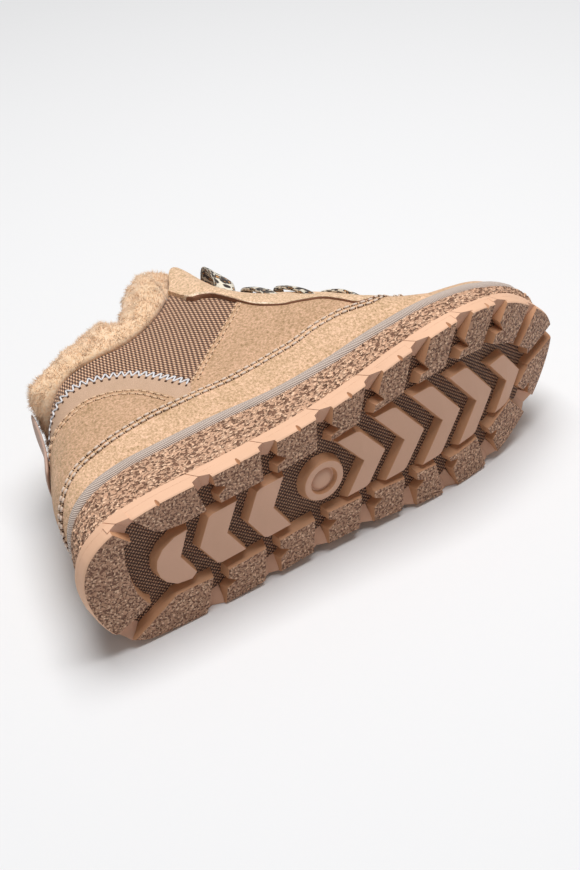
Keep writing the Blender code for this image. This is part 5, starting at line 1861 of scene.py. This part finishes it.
def hairs(name, node, place, span_u, span_v, pile, finish, rng):
    """Fleece hairs over part of a roll: short, lying in soft swirls and gathered a little into locks."""
    looks = settings("fur")
    count = int(area_of(place, span_u, span_v) * looks.density)
    roots, normals = hair_roots(place, count, span_u, span_v, rng)
    lock_count = max(8, count // HAIRS_IN_LOCK)
    locks = rng.choice(count, lock_count, replace=False)
    tree = tree_of(roots[locks])
    lock = np.array([tree.find(root)[1] for root in roots])
    centre, lead = roots[locks][lock], normals[locks][lock]
    swirl = np.array([
        [noise.noise(Vector(root) * 0.13 + Vector((9.0 * axis, 0, 0))) for axis in range(3)]
        for root in roots[locks]
    ])[lock] * 2.0 + rng.normal(scale=0.12, size=(lock_count, 3))[lock]
    swirl -= normals * np.sum(swirl * normals, axis=1, keepdims=True)
    size = rng.uniform(0.8, 1.15, lock_count)[lock] * rng.uniform(0.7, 1.1, count) * pile
    stand = rng.uniform(0.5, 1.1, count)[:, None]
    aim = stand * normals + 0.9 * swirl + rng.normal(scale=0.3, size=(count, 3))
    aim /= np.linalg.norm(aim, axis=1, keepdims=True)
    side = np.cross(aim, normals + rng.normal(scale=0.25, size=(count, 3)))
    side /= np.linalg.norm(side, axis=1, keepdims=True)
    other = np.cross(side, aim)
    shape = hair_shape()
    corners = np.array([vertex.co for vertex in shape.verts])
    t = corners[:, 2][None, :, None]
    width = looks.hair_width * (1 + 0.4 * t)
    phase = rng.uniform(0, math.tau, lock_count)[lock][:, None, None]
    phase = phase + rng.normal(scale=0.6, size=(count, 1, 1))
    curl = CURL * t * (np.sin(phase + t * 4.0) - np.sin(phase))
    gather = GATHER * t**1.4
    tip = centre + lead * size[:, None] * 0.7 + swirl * size[:, None] * 0.4
    line = (roots - normals * ROOT_DEPTH)[:, None] + aim[:, None] * size[:, None, None] * t
    line = line * (1 - gather) + (tip[:, None] * gather)
    line = line + side[:, None] * curl - normals[:, None] * (SAG * size)[:, None, None] * t**2
    points = (
        line + side[:, None] * corners[None, :, :1] * width
        + other[:, None] * corners[None, :, 1:2] * width * 0.6
    )
    patch = np.array([noise.noise(Vector(root) * 0.17) for root in roots[locks]])[lock]
    tone = np.clip(0.35 + 1.2 * patch + rng.normal(scale=0.08, size=count), 0, 1)
    marks = {
        "along": np.broadcast_to(t[..., 0], points.shape[:2]),
        "tone": np.broadcast_to(tone[:, None], points.shape[:2]),
    }
    return copies(shape, above_floor(points), node, name, [finish], marks)


def fleece_roll(name, node, place, across, around, finish):
    """The body of a fleece, closed at both ends."""
    def corners(u, v):
        points = place(u, v % 1.0)
        return points, no_map(points)

    body = capped(formed(across, around, corners, closed=True))
    return laid_body(name, body, [finish], node, 180.0)


def make_fleece():
    """The collar's and the tongue's fleece: a lumpy roll under tens of thousands of fine hairs."""
    looks = settings("fur")
    rng = np.random.default_rng(looks.seed)
    deep = fleece_finish("fleece_ground", looks.fur_tip, looks.fur_honey, 1.3)
    hair = hair_finish(looks)
    fleece_roll("collar_roll", "fur_collar", collar_point, 220, 44, deep)
    fleece_roll("tongue_roll", "tongue_fleece", tongue_point, 90, 44, deep)
    for name, span in (("collar_hair_lateral", (0.66, 1.0)), ("collar_hair_heel", (0.34, 0.66)),
                       ("collar_hair_medial", (0.0, 0.34))):
        hairs(name, "fur_collar", collar_point, span, (0.02, 0.72), looks.pile, hair, rng)
    hairs("tongue_hair", "tongue_fleece", tongue_point, (0.0, 1.0), (0.2, 0.95), looks.pile * 0.85, hair, rng)


# ---------------------------------------------------------------- the stage

CAMERA_PLACE = (-0.26334, -0.47284, 0.42038)
CAMERA_TURN = (52.3362, 3.5719, -33.6624)


def softbox(name, place, target, size, power):
    light = bpy.data.lights.new(name, "AREA")
    light.shape, light.size, light.energy = "SQUARE", size, power
    holder = in_scene(name, light)
    holder.location = place
    holder.rotation_euler = (Vector(target) - Vector(place)).to_track_quat("-Z", "Y").to_euler()


def make_stage():
    """A pale floor, soft light from overhead and the camera."""
    looks = settings("stage")
    scene = bpy.context.scene
    scene.view_settings.view_transform = "Standard"
    body = bmesh.new()
    bmesh.ops.create_grid(body, x_segments=8, y_segments=8, size=4.0)
    mesh = as_mesh("floor", body)
    paper = Finish("pale_floor", 0.9)
    where = put(paper.tree, "TexCoord").outputs["Object"]
    paper.colour(paper.mottled(where, looks.floor, Patch=0.6, Grain=0.002, Patch_Strength=0.02,
                               Grain_Strength=0.01))
    mesh.materials.append(paper.material)
    floor = in_scene("floor", mesh)
    lens = bpy.data.cameras.new("camera")
    lens.lens, lens.sensor_width, lens.clip_start = looks.lens, 36.0, 0.01
    camera = in_scene("camera", lens)
    camera.location = CAMERA_PLACE
    camera.rotation_euler = Euler([math.radians(angle) for angle in CAMERA_TURN])
    scene.camera = camera
    softbox("overhead", place=(0.10, 0.0, 1.5), target=(0, 0, 0), size=0.9, power=looks.key)
    world = bpy.data.worlds.new("studio")
    world.use_nodes = True
    sky = world.node_tree.nodes["Background"]
    sky.inputs["Color"].default_value = (1.0, 1.0, 1.0, 1.0)
    sky.inputs["Strength"].default_value = looks.sky
    scene.world = world


# ---------------------------------------------------------------- operators and panel


class SneakerStep:
    """What the steps share: the effects are built before the first of them."""

    bl_options = {"REGISTER", "UNDO"}

    def make(self, *makers):
        if not EFFECTS:
            make_effects()
        for maker in makers:
            maker()
        return {"FINISHED"}


class SNEAKER_OT_stage(SneakerStep, bpy.types.Operator):
    """Makes the floor, the lights and the camera."""

    bl_idname = "sneaker.stage"
    bl_label = "Stage"

    def execute(self, context):
        return self.make(make_stage)


class SNEAKER_OT_outsole(SneakerStep, bpy.types.Operator):
    """Builds the lugged tread with its chevrons and bare disc."""

    bl_idname = "sneaker.outsole"
    bl_label = "Outsole"

    def execute(self, context):
        return self.make(make_outsole)


class SNEAKER_OT_midsole(SneakerStep, bpy.types.Operator):
    """Builds the pebbled midsole."""

    bl_idname = "sneaker.midsole"
    bl_label = "Midsole"

    def execute(self, context):
        return self.make(make_midsole)


class SNEAKER_OT_piping(SneakerStep, bpy.types.Operator):
    """Lays the twill-covered cord round the join."""

    bl_idname = "sneaker.piping"
    bl_label = "Cord"

    def execute(self, context):
        return self.make(make_piping)


class SNEAKER_OT_wall(SneakerStep, bpy.types.Operator):
    """Builds the hollow wall of woven mesh and its lining."""

    bl_idname = "sneaker.wall"
    bl_label = "Wall"

    def execute(self, context):
        return self.make(make_wall)


class SNEAKER_OT_panels(SneakerStep, bpy.types.Operator):
    """Builds the suede and leather panels."""

    bl_idname = "sneaker.panels"
    bl_label = "Panels"

    def execute(self, context):
        return self.make(make_panels)


class SNEAKER_OT_stitches(SneakerStep, bpy.types.Operator):
    """Sews the double rows and the zigzag."""

    bl_idname = "sneaker.stitches"
    bl_label = "Stitches"

    def execute(self, context):
        return self.make(make_stitches)


class SNEAKER_OT_inside(SneakerStep, bpy.types.Operator):
    """Builds the padded insole and tongue."""

    bl_idname = "sneaker.inside"
    bl_label = "Insole and tongue"

    def execute(self, context):
        return self.make(make_insole, make_tongue)


class SNEAKER_OT_tab(SneakerStep, bpy.types.Operator):
    """Builds the pull tab on the heel."""

    bl_idname = "sneaker.tab"
    bl_label = "Heel tab"

    def execute(self, context):
        return self.make(make_heel_tab)


class SNEAKER_OT_laces(SneakerStep, bpy.types.Operator):
    """Builds the flat spotted laces."""

    bl_idname = "sneaker.laces"
    bl_label = "Laces"

    def execute(self, context):
        return self.make(make_laces)


class SNEAKER_OT_fleece(SneakerStep, bpy.types.Operator):
    """Grows the fleece of the collar and tongue."""

    bl_idname = "sneaker.fleece"
    bl_label = "Fleece"

    def execute(self, context):
        return self.make(make_fleece)


OPERATORS = [
    SNEAKER_OT_stage, SNEAKER_OT_outsole, SNEAKER_OT_midsole, SNEAKER_OT_piping,
    SNEAKER_OT_wall, SNEAKER_OT_panels, SNEAKER_OT_stitches, SNEAKER_OT_inside,
    SNEAKER_OT_tab, SNEAKER_OT_laces, SNEAKER_OT_fleece,
]


class SNEAKER_PT_builder(bpy.types.Panel):
    """Lists the pieces and what can be changed about them."""

    bl_idname = "SNEAKER_PT_builder"
    bl_label = "Winter Sneaker"
    bl_space_type = "VIEW_3D"
    bl_region_type = "UI"
    bl_category = "Sneaker"

    def draw(self, context):
        for group in GROUPS:
            box = self.layout.box()
            values = getattr(context.scene, "sneaker_" + group)
            for name in values.bl_rna.properties.keys():
                if name not in ("rna_type", "name"):
                    box.prop(values, name)
        for operator in OPERATORS:
            self.layout.operator(operator.bl_idname, text=operator.bl_label)


GROUPS = {"sole": SneakerSole, "upper": SneakerUpper, "fur": SneakerFur, "stage": SneakerStage}


def register():
    for made in [*GROUPS.values(), *OPERATORS, SNEAKER_PT_builder]:
        bpy.utils.register_class(made)
    for name, group in GROUPS.items():
        setattr(bpy.types.Scene, "sneaker_" + name, PointerProperty(type=group))


def unregister():
    for name in GROUPS:
        delattr(bpy.types.Scene, "sneaker_" + name)
    for made in [SNEAKER_PT_builder, *OPERATORS[::-1], *GROUPS.values()]:
        bpy.utils.unregister_class(made)


def main():
    register()
    make_effects()
    for operator in OPERATORS:
        getattr(bpy.ops.sneaker, operator.bl_idname.split(".")[1])()


if __name__ == "__main__":
    main()
